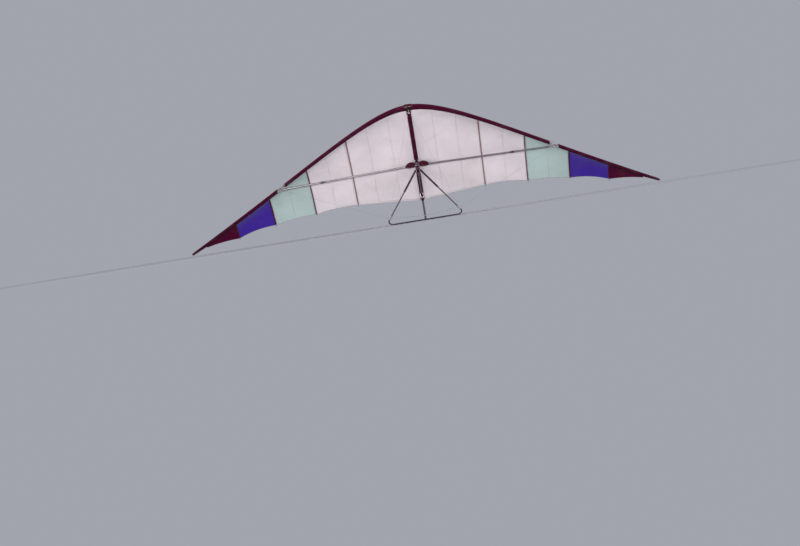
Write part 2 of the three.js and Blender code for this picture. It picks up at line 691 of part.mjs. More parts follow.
// The pitch at which the base bar and the tail of the keel touch the ground together
function parkedPitch() {
  const run = KEEL.to + KEEL.cap - BASE_BAR.y;
  const fall = -KEEL.radius - BASE_BAR.z;
  return Math.atan2(fall, run) + Math.asin(BASE_BAR.radius / Math.hypot(run, fall));
}

const pitch = parkedPitch();
buildKeel();
buildNose();
for (const side of SIDES) {
  buildSpars(side);
  buildSail(side);
  buildCrossbar(side);
  buildJunction(side);
  buildBoot(side);
}
buildCentre();
buildControlFrame();
buildKingpost();
buildRearTang();
buildStays();
buildHangBracket();
buildHangingPieces(pitch);

// Pitch the wing, stand it on the ground and centre it over the origin
wing.rotation.x = -pitch;
const model = new THREE.Group();
model.add(wing);
model.updateMatrixWorld(true);
const bounds = new THREE.Box3().setFromObject(model, true);
wing.position.set(0, -(bounds.min.y + bounds.max.y) / 2, -bounds.min.z);
model.updateMatrixWorld(true);

export default model;
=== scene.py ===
"""Looks of a flexwing hang glider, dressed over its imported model.

The wing is laid out in its own axes, in metres: x to the right, y aft along the keel, z up from the keel.
Wing.at() turns a point of those axes into its place on the parked glider.
"""
import logging
import math
from collections.abc import Callable, Iterable, Sequence
from dataclasses import dataclass, field
from enum import Enum
from functools import partial

import bmesh
import bpy
import numpy as np
from mathutils import Matrix, Vector, noise


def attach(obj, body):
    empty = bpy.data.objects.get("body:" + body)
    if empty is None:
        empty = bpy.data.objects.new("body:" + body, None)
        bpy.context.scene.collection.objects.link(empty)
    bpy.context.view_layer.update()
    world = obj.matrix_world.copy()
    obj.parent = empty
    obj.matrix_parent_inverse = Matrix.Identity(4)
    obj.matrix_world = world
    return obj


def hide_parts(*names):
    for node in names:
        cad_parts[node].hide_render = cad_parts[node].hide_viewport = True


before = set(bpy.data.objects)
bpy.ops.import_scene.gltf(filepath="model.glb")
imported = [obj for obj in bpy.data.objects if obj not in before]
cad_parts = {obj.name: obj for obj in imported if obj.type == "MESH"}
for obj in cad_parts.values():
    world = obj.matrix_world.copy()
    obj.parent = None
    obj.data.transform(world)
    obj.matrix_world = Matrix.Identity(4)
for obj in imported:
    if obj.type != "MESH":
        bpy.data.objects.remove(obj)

log = logging.getLogger("hang_glider")

PHOTO_WIDTH = 800
LEAN_RISE, LEAN_RUN = 44, 273
SHARP_ANGLE, GROWN_ANGLE, FLAT_ANGLE = 35.0, 40.0, 3.0
EDGE_ANGLE = 0.6
WELD = 2e-5
MIX_SHARE, MIX_LOW, MIX_HIGH, MIX_RESULT = 0, 6, 7, 2
BAR_RADIUS = 0.0143
TAIL_AFT_OF_BAR, TAIL_ABOVE_BAR = 1.9, 1.578
CAMBER_POWER, CHORD_STEPS, FINER = 0.7, 10, 40

Point = tuple[float, float, float]
Colour = tuple[float, float, float]
Piece = bpy.types.Object
Socket = bpy.types.NodeSocket


class Body(str, Enum):
    """Bodies that a piece can ride on."""

    AIRFRAME = "airframe"
    STRAP = "strap"
    CLIP = "clip"


class Side(Enum):
    """The two halves of the wing, each with the sign of its x."""

    RIGHT = 1
    LEFT = -1

    @property
    def tag(self) -> str:
        """The side's word in a node's name."""
        return self.name.lower()


def camber_line(power: float, steps: int) -> tuple[np.ndarray, np.ndarray]:
    """A smooth curve through the sail's camber at even steps of the chord.

    Args:
        power: How far forward the camber lies.
        steps: How many steps the chord has in the part's source.

    Returns:
        Fine places on the chord, and the camber at each as a share of its height.
    """
    knots = np.linspace(0, 1, steps + 1)
    heights = np.sin(np.pi * knots**power)
    rise = np.diff(heights) * steps
    ends = [1.5 * rise[0] - 0.5 * rise[1], 1.5 * rise[-1] - 0.5 * rise[-2]]
    slopes = np.concatenate([ends[:1], (rise[1:] + rise[:-1]) / 2, ends[1:]])
    fine = np.linspace(0, 1, FINER * steps + 1)
    k = np.minimum((fine * steps).astype(int), steps - 1)
    s = fine * steps - k
    line = (1 + 2 * s) * (1 - s) ** 2 * heights[k] + s**2 * (3 - 2 * s) * heights[k + 1]
    return fine, line + (s * (1 - s) ** 2 * slopes[k] - s**2 * (1 - s) * slopes[k + 1]) / steps


@dataclass(frozen=True)
class EdgePoint:
    """A batten's end on the trailing edge, and how deep the cloth is hollowed inboard of it."""

    x: float
    y: float
    z: float
    hollow: float


@dataclass(frozen=True)
class Wing:
    """The wing's lines, as in the part's source, and its stance on the ground."""

    half_span: float = 5.2
    sweep: float = 0.86
    nose_bow: float = 0.66
    tip_rise: float = 0.31
    band: float = 0.072
    nose_band: float = 0.08
    nose_band_length: float = 0.7
    camber: float = 0.075
    camber_run_in: float = 0.35
    sail_end: float = 4.85
    trailing_edge: tuple[EdgePoint, ...] = (
        EdgePoint(0, 2.99, 0.029, 0),
        EdgePoint(1.39, 2.9, 0.1, 0),
        EdgePoint(2.32, 3.05, 0.15, 0.045),
        EdgePoint(3.24, 3.24, 0.2, 0.045),
        EdgePoint(4.1, 3.55, 0.25, 0.06),
        EdgePoint(4.85, 3.722, 0.283, 0.03),
    )
    billow: tuple[float, ...] = (0.02, 0.017, 0.015, 0.012, 0.006)
    billow_across: float = 1.2
    billow_along: float = 0.8
    billow_run: tuple[float, float] = (1.03, 0.94)
    pitch: float = math.atan2(TAIL_ABOVE_BAR, TAIL_AFT_OF_BAR) + math.asin(
        BAR_RADIUS / math.hypot(TAIL_ABOVE_BAR, TAIL_AFT_OF_BAR)
    )
    origin: Point = (0.0, -1.599029, 2.332672)
    arch: tuple[np.ndarray, np.ndarray] = field(
        default_factory=partial(camber_line, CAMBER_POWER, CHORD_STEPS)
    )

    def at(self, point: Sequence[float]) -> Vector:
        """The place on the parked glider of a point in the wing's axes."""
        x, y, z = point
        c, s = math.cos(self.pitch), math.sin(self.pitch)
        return Vector((x, y * c + z * s, z * c - y * s)) + Vector(self.origin)

    def turn(self, way: Sequence[float]) -> Vector:
        """The direction on the parked glider of a direction in the wing's axes."""
        return self.at(way) - Vector(self.origin)

    def spar(self, x: float) -> tuple[float, float, float]:
        """The leading edge tube's y, z and slope at a distance from the keel."""
        fade = 1 - math.exp(-x / self.nose_bow)
        rise = self.tip_rise * (x / self.half_span) ** 2
        return self.sweep * (x - self.nose_bow * fade), rise, self.sweep * fade

    def hem(self, x: float) -> tuple[float, float]:
        """Where the leading edge pocket's hem meets the sail."""
        y, z, _ = self.spar(x)
        y += self.band + self.nose_band * math.exp(-x / self.nose_band_length)
        return y, z + self.trailing_edge[0].z * math.exp(-x / self.camber_run_in)

    def panel_of(self, x: float) -> int:
        """The number of the panel that a distance from the keel lies in, from 0."""
        inner = [row.x for row in self.trailing_edge[1:-1]]
        return sum(x > edge + 1e-9 for edge in inner)

    def trailing(self, x: float) -> tuple[float, float]:
        """The trailing edge, hollowed between battens."""
        k = self.panel_of(x)
        a, b = self.trailing_edge[k : k + 2]
        t = (x - a.x) / (b.x - a.x)
        return a.y + t * (b.y - a.y) - 4 * b.hollow * t * (1 - t), a.z + t * (b.z - a.z)

    def sail(self, side: Side, x: float, t: float, lift: float = 0.0) -> Point:
        """A point of the sail in the wing's axes.

        Args:
            side: The half of the wing.
            x: Distance from the keel.
            t: 0 at the hem, 1 at the trailing edge.
            lift: Height above the middle of the cloth.

        Returns:
            The point, with the cloth's camber and its billow between the battens.
        """
        front, back = self.hem(x), self.trailing(x)
        chord = back[0] - front[0]
        arch = float(np.interp(t, *self.arch))
        rise = self.camber * (1 - math.exp(-x / self.camber_run_in)) * arch * chord
        z = front[1] + t * (back[1] - front[1]) + rise
        k = self.panel_of(x)
        a, b = self.trailing_edge[k : k + 2]
        u = (x - a.x) / (b.x - a.x)
        run = min(1.0, t * self.billow_run[0]) * self.billow_run[1]
        across = math.sin(math.pi * u) ** self.billow_across
        z += self.billow[k] * across * math.sin(math.pi * run) ** self.billow_along
        return side.value * x, front[0] + t * chord, z + lift

    def chord_place(self, x: float, y: float) -> float:
        """How far a place lies from the hem, 0, to the trailing edge, 1."""
        front, back = self.hem(x)[0], self.trailing(x)[0]
        return (y - front) / (back - front)


WING = Wing()


def unit(v: Sequence[float]) -> np.ndarray:
    """A vector of length one in the same direction."""
    v = np.asarray(v, float)
    return v / np.linalg.norm(v)


def smooth(mesh: bpy.types.Mesh, degrees: float = SHARP_ANGLE) -> None:
    """Shades a mesh smooth, with edges over an angle kept sharp."""
    mesh.shade_smooth()
    mesh.set_sharp_from_angle(angle=math.radians(degrees))


def put(name: str, data: bpy.types.ID) -> Piece:
    """Puts a mesh, lamp or lens into the scene as an object at the origin."""
    piece = bpy.data.objects.new(name, data)
    bpy.context.scene.collection.objects.link(piece)
    return piece


def settle(piece: Piece) -> None:
    """Makes a piece's modifiers part of its mesh."""
    graph = bpy.context.evaluated_depsgraph_get()
    solid = bpy.data.meshes.new_from_object(piece.evaluated_get(graph), depsgraph=graph)
    piece.modifiers.clear()
    piece.data = solid


def make_mesh(
    name: str, points: Sequence, faces: Sequence, uv: Sequence | None = None, soft: bool = True
) -> Piece:
    """Makes an object at the origin from points in metres.

    Args:
        name: The piece's name.
        points: Its corners, in the parked glider's place.
        faces: Corner numbers of each face, seen from outside anticlockwise.
        uv: A pair of metres along the surface for each corner of each face, in the faces' order.
        soft: Whether its faces are shaded smooth.

    Returns:
        The object, in the scene.
    """
    mesh = bpy.data.meshes.new(name)
    mesh.from_pydata([tuple(p) for p in points], [], [tuple(f) for f in faces])
    if uv is not None:
        layer = mesh.uv_layers.new(name="surface")
        layer.data.foreach_set("uv", np.asarray(uv, np.float32).ravel())
    mesh.update()
    if soft:
        smooth(mesh)
    return put(name, mesh)


def frames_along(path: np.ndarray) -> tuple[np.ndarray, np.ndarray]:
    """Two directions across a path at each of its points, carried along it without twisting."""
    before = np.vstack([path[1] - path[0], path[1:] - path[:-1]])
    after = np.vstack([path[1:] - path[:-1], path[-1] - path[-2]])
    before /= np.linalg.norm(before, axis=1)[:, None]
    after /= np.linalg.norm(after, axis=1)[:, None]
    tangents = before + after
    tangents /= np.linalg.norm(tangents, axis=1)[:, None]
    start = (1.0, 0, 0) if abs(tangents[0][2]) > 0.9 else (0, 0, 1.0)
    side = unit(np.cross(start, tangents[0]))
    sides = []
    for tangent in tangents:
        side = unit(side - tangent * (side @ tangent))
        sides.append(side)
    sides = np.array(sides)
    return sides, np.cross(tangents, sides)


def as_rings(rows: Iterable) -> np.ndarray:
    """Rings of points as an array of rings, corners and three numbers."""
    return np.array([[tuple(p) for p in row] for row in rows], float)


def ring_mesh(
    name: str,
    rings: Iterable,
    closed_ends: bool = True,
    along: np.ndarray | None = None,
    looped: bool = False,
) -> Piece:
    """A surface through rings of equal count, with a UV map in metres.

    Args:
        name: The piece's name.
        rings: Points of each ring.
        closed_ends: Whether the first and last ring are closed by a face.
        along: Distance of each ring along the piece, worked out from the rings where it isn't given.
        looped: Whether the last ring joins the first, in place of ends.

    Returns:
        The object, with its faces turned outwards.
    """
    rings = as_rings(rings)
    rows, count = rings.shape[:2]
    if along is None:
        centre = rings.mean(axis=1)
        centre = np.vstack([centre, centre[:1]]) if looped else centre
        along = np.concatenate([[0], np.cumsum(np.linalg.norm(np.diff(centre, axis=0), axis=1))])
    girth = np.linalg.norm(np.roll(rings, -1, axis=1) - rings, axis=2)
    around = np.concatenate([np.zeros((rows, 1)), np.cumsum(girth, axis=1)], axis=1)
    faces, uv = [], []
    for i in range(rows if looped else rows - 1):
        n = (i + 1) % rows
        for j in range(count):
            k = (j + 1) % count
            faces.append((i * count + j, i * count + k, n * count + k, n * count + j))
            uv += [(around[i, j], along[i]), (around[i, j + 1], along[i])]
            uv += [(around[n, j + 1], along[i + 1]), (around[n, j], along[i + 1])]
    if closed_ends and not looped:
        faces += [tuple(reversed(range(count))), tuple((rows - 1) * count + j for j in range(count))]
        uv += [(0.0, along[0])] * count + [(0.0, along[-1])] * count
    piece = make_mesh(name, rings.reshape(-1, 3), faces, uv)
    outwards(piece)
    return piece


def outwards(piece: Piece) -> None:
    """Turns the faces of a closed piece outwards."""
    shape = bmesh.new()
    shape.from_mesh(piece.data)
    if shape.calc_volume(signed=True) < 0:
        bmesh.ops.reverse_faces(shape, faces=shape.faces)
    shape.to_mesh(piece.data)
    shape.free()


def wheel(across: np.ndarray, up: np.ndarray, sides: int) -> np.ndarray:
    """Spokes of length one, evenly round the axis that two directions stand across."""
    angle = 2 * np.pi * (np.arange(sides) + 0.5) / sides
    return np.cos(angle)[:, None] * across[..., None, :] + np.sin(angle)[:, None] * up[..., None, :]


def tube(name: str, path: Sequence, radius: float, sides: int = 40) -> Piece:
    """A round tube along a path, closed at both ends.

    Args:
        name: The piece's name.
        path: Points of its axis, in the parked glider's place.
        radius: Its radius.
        sides: How many faces it has around.

    Returns:
        The object.
    """
    path = np.array([tuple(p) for p in path], float)
    return ring_mesh(name, path[:, None] + radius * wheel(*frames_along(path), sides))


def closed_tube(name: str, loop: Sequence, radius: float, sides: int = 16) -> Piece:
    """A round bar bent into a closed ring that lies in one plane."""
    loop = np.array([tuple(p) for p in loop], float)
    tangents = np.roll(loop, -1, axis=0) - np.roll(loop, 1, axis=0)
    tangents /= np.linalg.norm(tangents, axis=1)[:, None]
    third = len(loop) // 3
    normal = unit(np.cross(loop[third] - loop[0], loop[2 * len(loop) // 3] - loop[0]))
    spokes = wheel(np.cross(tangents, normal), normal, sides)
    return ring_mesh(name, loop[:, None] + radius * spokes, looped=True)


def turned(
    name: str, start: Sequence, end: Sequence, profile: Sequence[tuple[float, float]], sides: int = 32
) -> Piece:
    """A piece turned about a straight axis.

    Args:
        name: The piece's name.
        start: Where the axis starts.
        end: A point that the axis runs towards.
        profile: Pairs of distance along the axis and radius. A bore is the same line run backwards.
        sides: How many faces it has around.

    Returns:
        The object.
    """
    start, end = np.array(tuple(start), float), np.array(tuple(end), float)
    along = unit(end - start)
    across = unit(np.cross((1.0, 0, 0) if abs(along[0]) < 0.9 else (0, 1.0, 0), along))
    spokes = wheel(across, np.cross(along, across), sides)
    lengths = np.hypot(*np.diff(np.array(profile), axis=0).T)
    rings = [start + d * along + r * spokes for d, r in profile]
    return ring_mesh(name, rings, along=np.concatenate([[0], np.cumsum(lengths)]))


def rounded(length: float, radius: float, edge: float, bore: float = 0.0) -> list[tuple[float, float]]:
    """The profile of a turned cylinder with rounded rims, and a bore where one is given."""
    rim = [(1 - math.cos(a), 1 - math.sin(a)) for a in (0.0, 0.4, 0.8, 1.2, math.pi / 2)]
    out = [(edge * u, radius - edge * v) for u, v in rim]
    out += [(length - edge * u, radius - edge * v) for u, v in reversed(rim)]
    if bore:
        lip = bore + edge * 0.2
        out += [(length, lip), (length - edge * 0.4, bore), (edge * 0.4, bore), (0, lip), out[0]]
    return out


def joined(name: str, pieces: Sequence[Piece]) -> Piece:
    """Joins pieces into the first of them, with their materials and UV maps kept."""
    with bpy.context.temp_override(active_object=pieces[0], selected_editable_objects=list(pieces)):
        bpy.ops.object.join()
    pieces[0].name = pieces[0].data.name = name
    return pieces[0]


def slab(name: str, outline: Sequence, depth: Sequence[float], bevel: float = 0.0008) -> Piece:
    """A plate cut to an outline, with softened edges.

    Args:
        name: The piece's name.
        outline: Points round one face of the plate, in the parked glider's place.
        depth: The step from that face to the other one.
        bevel: How much its edges are rounded.

    Returns:
        The object.
    """
    low = [Vector(p) for p in outline]
    count = len(low)
    points = low + [p + Vector(depth) for p in low]
    faces = [tuple(reversed(range(count))), tuple(range(count, 2 * count))]
    faces += [(j, (j + 1) % count, count + (j + 1) % count, count + j) for j in range(count)]
    piece = make_mesh(name, points, faces, soft=False)
    outwards(piece)
    shape = bmesh.new()
    shape.from_mesh(piece.data)
    soften(shape, piece.data, bevel)
    return piece


def soften(shape: bmesh.types.BMesh, mesh: bpy.types.Mesh, bevel: float) -> None:
    """Rounds a closed shape's sharp edges and writes it to a mesh."""
    sharp = [e for e in shape.edges if e.calc_face_angle(0) > EDGE_ANGLE]
    bmesh.ops.bevel(shape, geom=sharp, offset=bevel, segments=2, affect="EDGES", clamp_overlap=True)
    shape.to_mesh(mesh)
    shape.free()
    smooth(mesh)


class Value:
    """A number socket of a shader that takes part in Python expressions."""

    def __init__(self, tree: bpy.types.NodeTree, socket: Socket) -> None:
        """Wraps an output socket of a tree."""
        self.tree, self.socket = tree, socket

    def _math(self, operation: str, first: "Value | float", second: "Value | float" = 0.0) -> "Value":
        """Adds a Math node on two values.

        Args:
            operation: The node's operation.
            first: A value or a number.
            second: A value or a number.

        Returns:
            The result.
        """
        node = self.tree.nodes.new("ShaderNodeMath")
        node.operation = operation
        for socket, value in zip(node.inputs, (first, second)):
            if isinstance(value, Value):
                self.tree.links.new(value.socket, socket)
            else:
                socket.default_value = value
        return Value(self.tree, node.outputs[0])

    def __add__(self, other: "Value | float") -> "Value":
        """self + other"""
        return self._math("ADD", self, other)

    def __sub__(self, other: "Value | float") -> "Value":
        """self - other"""
        return self._math("SUBTRACT", self, other)

    def __rsub__(self, other: float) -> "Value":
        """other - self"""
        return self._math("SUBTRACT", other, self)

    def __mul__(self, other: "Value | float") -> "Value":
        """self * other"""
        return self._math("MULTIPLY", self, other)

    __radd__ = __add__
    __rmul__ = __mul__

    def __pow__(self, other: float) -> "Value":
        """self ** other"""
        return self._math("POWER", self, other)

    def wave(self, length: float) -> "Value":
        """A sine from 0 to 1 with the given wavelength."""
        return self._math("SINE", self * (2 * math.pi / length)) * 0.5 + 0.5

    def within(self, low: float, high: float) -> "Value":
        """0 below low, 1 above high, and straight between them."""
        node = self.tree.nodes.new("ShaderNodeMapRange")
        node.clamp = True
        self.tree.links.new(self.socket, node.inputs["Value"])
        node.inputs["From Min"].default_value, node.inputs["From Max"].default_value = low, high
        return Value(self.tree, node.outputs["Result"])


class Graph:
    """Builds a node tree node by node."""

    def __init__(self, tree: bpy.types.NodeTree) -> None:
        """Takes the tree."""
        self.tree = tree

    def node(self, kind: str, settings: dict | None = None, inputs: dict | None = None) -> bpy.types.Node:
        """Adds a node.

        Args:
            kind: The node's type.
            settings: Its properties, which are set first.
            inputs: Numbers, colours, sockets or values for its sockets, by name or number.

        Returns:
            The node.
        """
        node = self.tree.nodes.new(kind)
        for name, value in (settings or {}).items():
            setattr(node, name, value)
        for name, value in (inputs or {}).items():
            self.feed(node.inputs[name], value)
        return node

    def feed(self, socket: Socket, value: object) -> None:
        """Sets or links one socket."""
        if isinstance(value, Value):
            value = value.socket
        if isinstance(value, Socket):
            self.tree.links.new(value, socket)
        elif isinstance(value, tuple) and socket.type == "RGBA":
            socket.default_value = (*value, 1.0)
        else:
            socket.default_value = value


class Paint(Graph):
    """Builds the nodes of one material round its Principled shader."""

    def __init__(self, name: str) -> None:
        """Makes the material with a bare shader."""
        self.material = bpy.data.materials.new(name)
        self.material.use_nodes = True
        super().__init__(self.material.node_tree)
        self.shader = self.tree.nodes["Principled BSDF"]
        self.output = self.tree.nodes["Material Output"]

    def place(self) -> Socket:
        """The place on the parked glider, in metres."""
        return self.node("ShaderNodeTexCoord").outputs["Object"]

    def surface(self) -> Socket:
        """The place on the piece's own surface, in metres."""
        return self.node("ShaderNodeUVMap", {"uv_map": "surface"}).outputs["UV"]

    def split(self, vector: Socket) -> tuple[Value, Value, Value]:
        """The three numbers of a vector."""
        node = self.node("ShaderNodeSeparateXYZ", inputs={0: vector})
        return tuple(Value(self.tree, socket) for socket in node.outputs)

    def scaled(self, vector: Socket, scale: Colour) -> Socket:
        """A vector with each of its numbers multiplied."""
        inputs = {0: vector, 1: scale}
        return self.node("ShaderNodeVectorMath", {"operation": "MULTIPLY"}, inputs).outputs[0]

    def noise(self, vector: Socket, scale: float, detail: float = 3.0) -> Value:
        """Smooth noise from 0 to 1 over a place."""
        node = self.node("ShaderNodeTexNoise", {}, {"Vector": vector, "Scale": scale, "Detail": detail})
        return Value(self.tree, node.outputs["Fac"])

    def mix(self, mask: Value, low: object, high: object) -> Socket:
        """Runs from one colour to another over a mask."""
        inputs = {MIX_SHARE: mask, MIX_LOW: low, MIX_HIGH: high}
        return self.node("ShaderNodeMix", {"data_type": "RGBA"}, inputs).outputs[MIX_RESULT]

    def bump(self, height: Value, distance: float, strength: float = 1.0) -> None:
        """Raises the surface by a height, from 0 to 1 of a distance in metres."""
        node = self.node("ShaderNodeBump", {}, {"Height": height, "Distance": distance, "Strength": strength})
        self.feed(self.shader.inputs["Normal"], node.outputs["Normal"])

    def set(self, **sockets: object) -> None:
        """Sets the shader's sockets, with their names in small letters and underscores."""
        names = {socket.name.lower().replace(" ", "_"): socket for socket in self.shader.inputs}
        for name, value in sockets.items():
            self.feed(names[name], value)

    def blend(self, share: object, kind: str, inputs: dict | None = None) -> None:
        """Mixes a share of another shader into the main one."""
        other = self.node(kind, inputs=inputs)
        shaders = {1: self.shader.outputs[0], 2: other.outputs[0]}
        both = self.node("ShaderNodeMixShader", inputs={0: share, **shaders})
        self.feed(self.output.inputs["Surface"], both.outputs[0])


@dataclass(frozen=True)
class Recipe:
    """What every finish has: its material's name, its slot in the record and its colour."""

    name: str
    slot: str
    colour: Colour

    def tint(self, factor: float) -> Colour:
        """The colour made darker or lighter."""
        return tuple(min(1.0, c * factor) for c in self.colour)

    def dusted(self, share: float, dust: float) -> Colour:
        """A share of the colour, with grey dust added."""
        return tuple(share * c + dust for c in self.colour)

    def apply(self, paint: Paint) -> None:
        """Adds the nodes that each kind of finish has of its own."""
        raise NotImplementedError

    def material(self) -> bpy.types.Material:
        """Builds the material."""
        paint = Paint(self.name)
        self.apply(paint)
        return paint.material


@dataclass(frozen=True)
class Sailcloth(Recipe):
    """Coated woven polyester, with its ripstop grid, creases and a little soil."""

    glow: float = 0.3
    soil: float = 0.12
    roughness: float = 0.5
    grid: float = 0.012
    sheen: float = 0.12

    def apply(self, paint: Paint) -> None:
        """Gives the material its colour, gloss and relief."""
        place, surface = paint.place(), paint.surface()
        u, v, _ = paint.split(surface)
        threads = u.wave(self.grid) ** 24.0 + v.wave(self.grid) ** 24.0
        weave = u.wave(0.0016) * v.wave(0.0016)
        fade = paint.noise(place, 1.3, 4.0).within(0.35, 0.7)
        mottle = paint.noise(place, 9.0, 5.0).within(0.3, 0.75)
        soil = paint.noise(place, 3.1, 6.0).within(0.52, 0.8) * self.soil
        creases = paint.noise(paint.scaled(surface, (1.0, 4.5, 1.0)), 2.2, 3.0)
        colour = paint.mix(fade, self.tint(0.93), self.tint(1.04))
        colour = paint.mix(mottle * 0.12, colour, self.tint(0.8))
        colour = paint.mix(threads.within(0.0, 1.0) * 0.1, colour, self.tint(0.72))
        colour = paint.mix(soil, colour, (0.2, 0.15, 0.12))
        gloss = 0.3 if self.sheen else 0.08
        paint.set(base_color=colour, roughness=mottle * 0.12 + self.roughness, specular_ior_level=gloss)
        paint.set(sheen_weight=self.sheen, sheen_roughness=0.5)
        paint.bump(threads * 0.12 + weave * 0.08 + creases * 3.0 + mottle * 0.15, 0.0016)
        if self.glow:
            paint.blend(self.glow, "ShaderNodeBsdfTranslucent", {"Color": colour})


@dataclass(frozen=True)
class Tubing(Recipe):
    """Drawn and anodised metal tube, streaked along its length and scuffed."""

    roughness: float = 0.3
    metallic: float = 1.0
    scuffs: float = 0.25
    coat: float = 0.0

    def apply(self, paint: Paint) -> None:
        """Gives the material its colour, gloss and relief."""
        place, surface = paint.place(), paint.surface()
        streaks = paint.noise(paint.scaled(surface, (900.0, 9.0, 1.0)), 1.0, 3.0)
        smudges = paint.noise(place, 7.0, 4.0).within(0.4, 0.75)
        scuffs = paint.noise(paint.scaled(surface, (160.0, 30.0, 1.0)), 1.0, 6.0)
        scuffs = scuffs.within(0.62, 0.8) * self.scuffs
        colour = paint.mix(streaks, self.tint(0.9), self.tint(1.07))
        colour = paint.mix(smudges * 0.25, colour, self.tint(0.72))
        colour = paint.mix(scuffs, colour, self.tint(0.5) if self.metallic else (0.25, 0.24, 0.23))
        rough = streaks * 0.12 + smudges * 0.1 + scuffs * 0.3 + (self.roughness - 0.1)
        paint.set(base_color=colour, roughness=rough, metallic=self.metallic, coat_weight=self.coat)
        paint.bump(streaks * 0.3 + scuffs, 0.00015)


@dataclass(frozen=True)
class Machined(Recipe):
    """Sawn, milled or pressed metal of brackets, plates, bolts and swages, with patches of grime."""

    roughness: float = 0.34
    grime: float = 0.35
    lay: Colour = (260.0, 30.0, 30.0)

    def apply(self, paint: Paint) -> None:
        """Gives the material its colour, gloss and relief."""
        place = paint.place()
        marks = paint.noise(paint.scaled(place, self.lay), 1.0, 4.0)
        blotch = paint.noise(place, 38.0, 4.0).within(0.4, 0.7)
        grime = paint.noise(place, 90.0, 6.0).within(0.55, 0.8) * self.grime
        colour = paint.mix(marks, self.tint(0.84), self.tint(1.12))
        colour = paint.mix(blotch * 0.22, colour, self.tint(0.66))
        colour = paint.mix(grime, colour, (0.06, 0.05, 0.045))
        rough = marks * 0.14 + blotch * 0.1 + grime * 0.5 + (self.roughness - 0.08)
        paint.set(base_color=colour, roughness=rough, metallic=1.0 - grime * 0.8)
        paint.bump(marks * 0.6 + grime, 0.0002)


@dataclass(frozen=True)
class Strand(Recipe):
    """Twisted steel strand, its lay shown by slanting shade along the wire."""

    lay: float = 0.011
    girth: float = 0.0082

    def apply(self, paint: Paint) -> None:
        """Gives the material its colour, gloss and relief."""
        u, v, _ = paint.split(paint.surface())
        wires = (u * (self.lay / self.girth * 6.0) + v * 6.0).wave(self.lay)
        dull = paint.noise(paint.place(), 5.0, 3.0).within(0.4, 0.7)
        colour = paint.mix(wires, self.tint(0.4), self.tint(1.25))
        colour = paint.mix(dull * 0.3, colour, self.tint(0.6))
        paint.set(base_color=colour, roughness=dull * 0.15 + 0.3, metallic=1.0)
        paint.bump(wires, 0.0004)


@dataclass(frozen=True)
class Moulded(Recipe):
    """Rubber, foam or plastic, with its grain, dust and scuffs."""

    roughness: float = 0.6
    grain: float = 900.0
    depth: float = 0.0003
    dust: float = 0.3

    def apply(self, paint: Paint) -> None:
        """Gives the material its colour, gloss and relief."""
        place = paint.place()
        cells = paint.node("ShaderNodeTexVoronoi", {"feature": "F1"}, {"Vector": place, "Scale": self.grain})
        cells = Value(paint.tree, cells.outputs["Distance"])
        dust = paint.noise(place, 16.0, 5.0).within(0.42, 0.78) * self.dust
        wear = paint.noise(paint.scaled(place, (60.0, 22.0, 22.0)), 1.0, 5.0).within(0.6, 0.8) * self.dust
        colour = paint.mix(cells.within(0.1, 0.8), self.tint(0.75), self.tint(1.25))
        colour = paint.mix(dust, colour, self.dusted(0.75, 0.06))
        colour = paint.mix(wear * 0.4, colour, self.dusted(0.6, 0.12))
        paint.set(base_color=colour, roughness=dust * 0.3 + self.roughness, specular_ior_level=0.45)
        paint.bump(cells + wear, self.depth)


@dataclass(frozen=True)
class Webbing(Recipe):
    """Woven tape with herringbone ribs along its length and firm edges."""

    rib: float = 0.0025

    def apply(self, paint: Paint) -> None:
        """Gives the material its colour, gloss and relief."""
        surface = paint.surface()
        u, v, _ = paint.split(surface)
        rows = u.wave(self.rib)
        slant = (v + u * 0.6).wave(self.rib * 0.8) * rows + (v - u * 0.6).wave(self.rib * 0.8) * (1 - rows)
        fuzz = paint.noise(surface, 700.0, 3.0)
        fade = paint.noise(paint.place(), 8.0, 3.0).within(0.35, 0.7)
        colour = paint.mix(slant, self.tint(0.55), self.tint(1.5))
        colour = paint.mix(fade * 0.35, colour, self.dusted(0.8, 0.05))
        colour = paint.mix(fuzz * 0.25, colour, self.dusted(0.7, 0.08))
        paint.set(base_color=colour, roughness=fuzz * 0.2 + 0.62, specular_ior_level=0.3, sheen_weight=0.3)
        paint.bump(slant + fuzz * 0.3, 0.0006)


@dataclass(frozen=True)
class Quilting(Recipe):
    """Waxed padded cloth of the boots, with puckers painted darker in their hollows and lighter on their tops
    as painted shade and highlight, and rubbed patches.
    """

    def apply(self, paint: Paint) -> None:
        """Gives the material its colour, gloss and relief."""
        place = paint.place()
        weave = paint.noise(place, 620.0, 2.0)
        pucker_relief_and_shade = paint.noise(paint.scaled(place, (1.0, 2.4, 2.4)), 26.0, 4.0)
        rubbed = paint.noise(place, 14.0, 5.0).within(0.45, 0.75)
        # Painted shade and highlight: the colour follows the puckers' height, darker in their hollows and
        # lighter on their tops.
        colour = paint.mix(pucker_relief_and_shade.within(0.25, 0.75), self.tint(0.62), self.tint(1.2))
        colour = paint.mix(rubbed * 0.25, colour, self.dusted(1.2, 0.008))
        colour = paint.mix(weave.within(0.3, 0.7) * 0.3, colour, self.tint(0.5))
        paint.set(base_color=colour, roughness=rubbed * 0.2 + 0.5, specular_ior_level=0.12, sheen_weight=0.02)
        paint.bump(weave * 0.12 + pucker_relief_and_shade * 1.6, 0.002)


MATT = {"glow": 0.0, "roughness": 0.6, "sheen": 0.0}
DULL = {"glow": 0.0, "roughness": 0.66, "sheen": 0.0}
FINE_GRAIN = {"grain": 1500.0, "depth": 0.0001, "dust": 0.2}
SMOOTH_GRAIN = {"grain": 1100.0, "depth": 0.0001, "dust": 0.25}


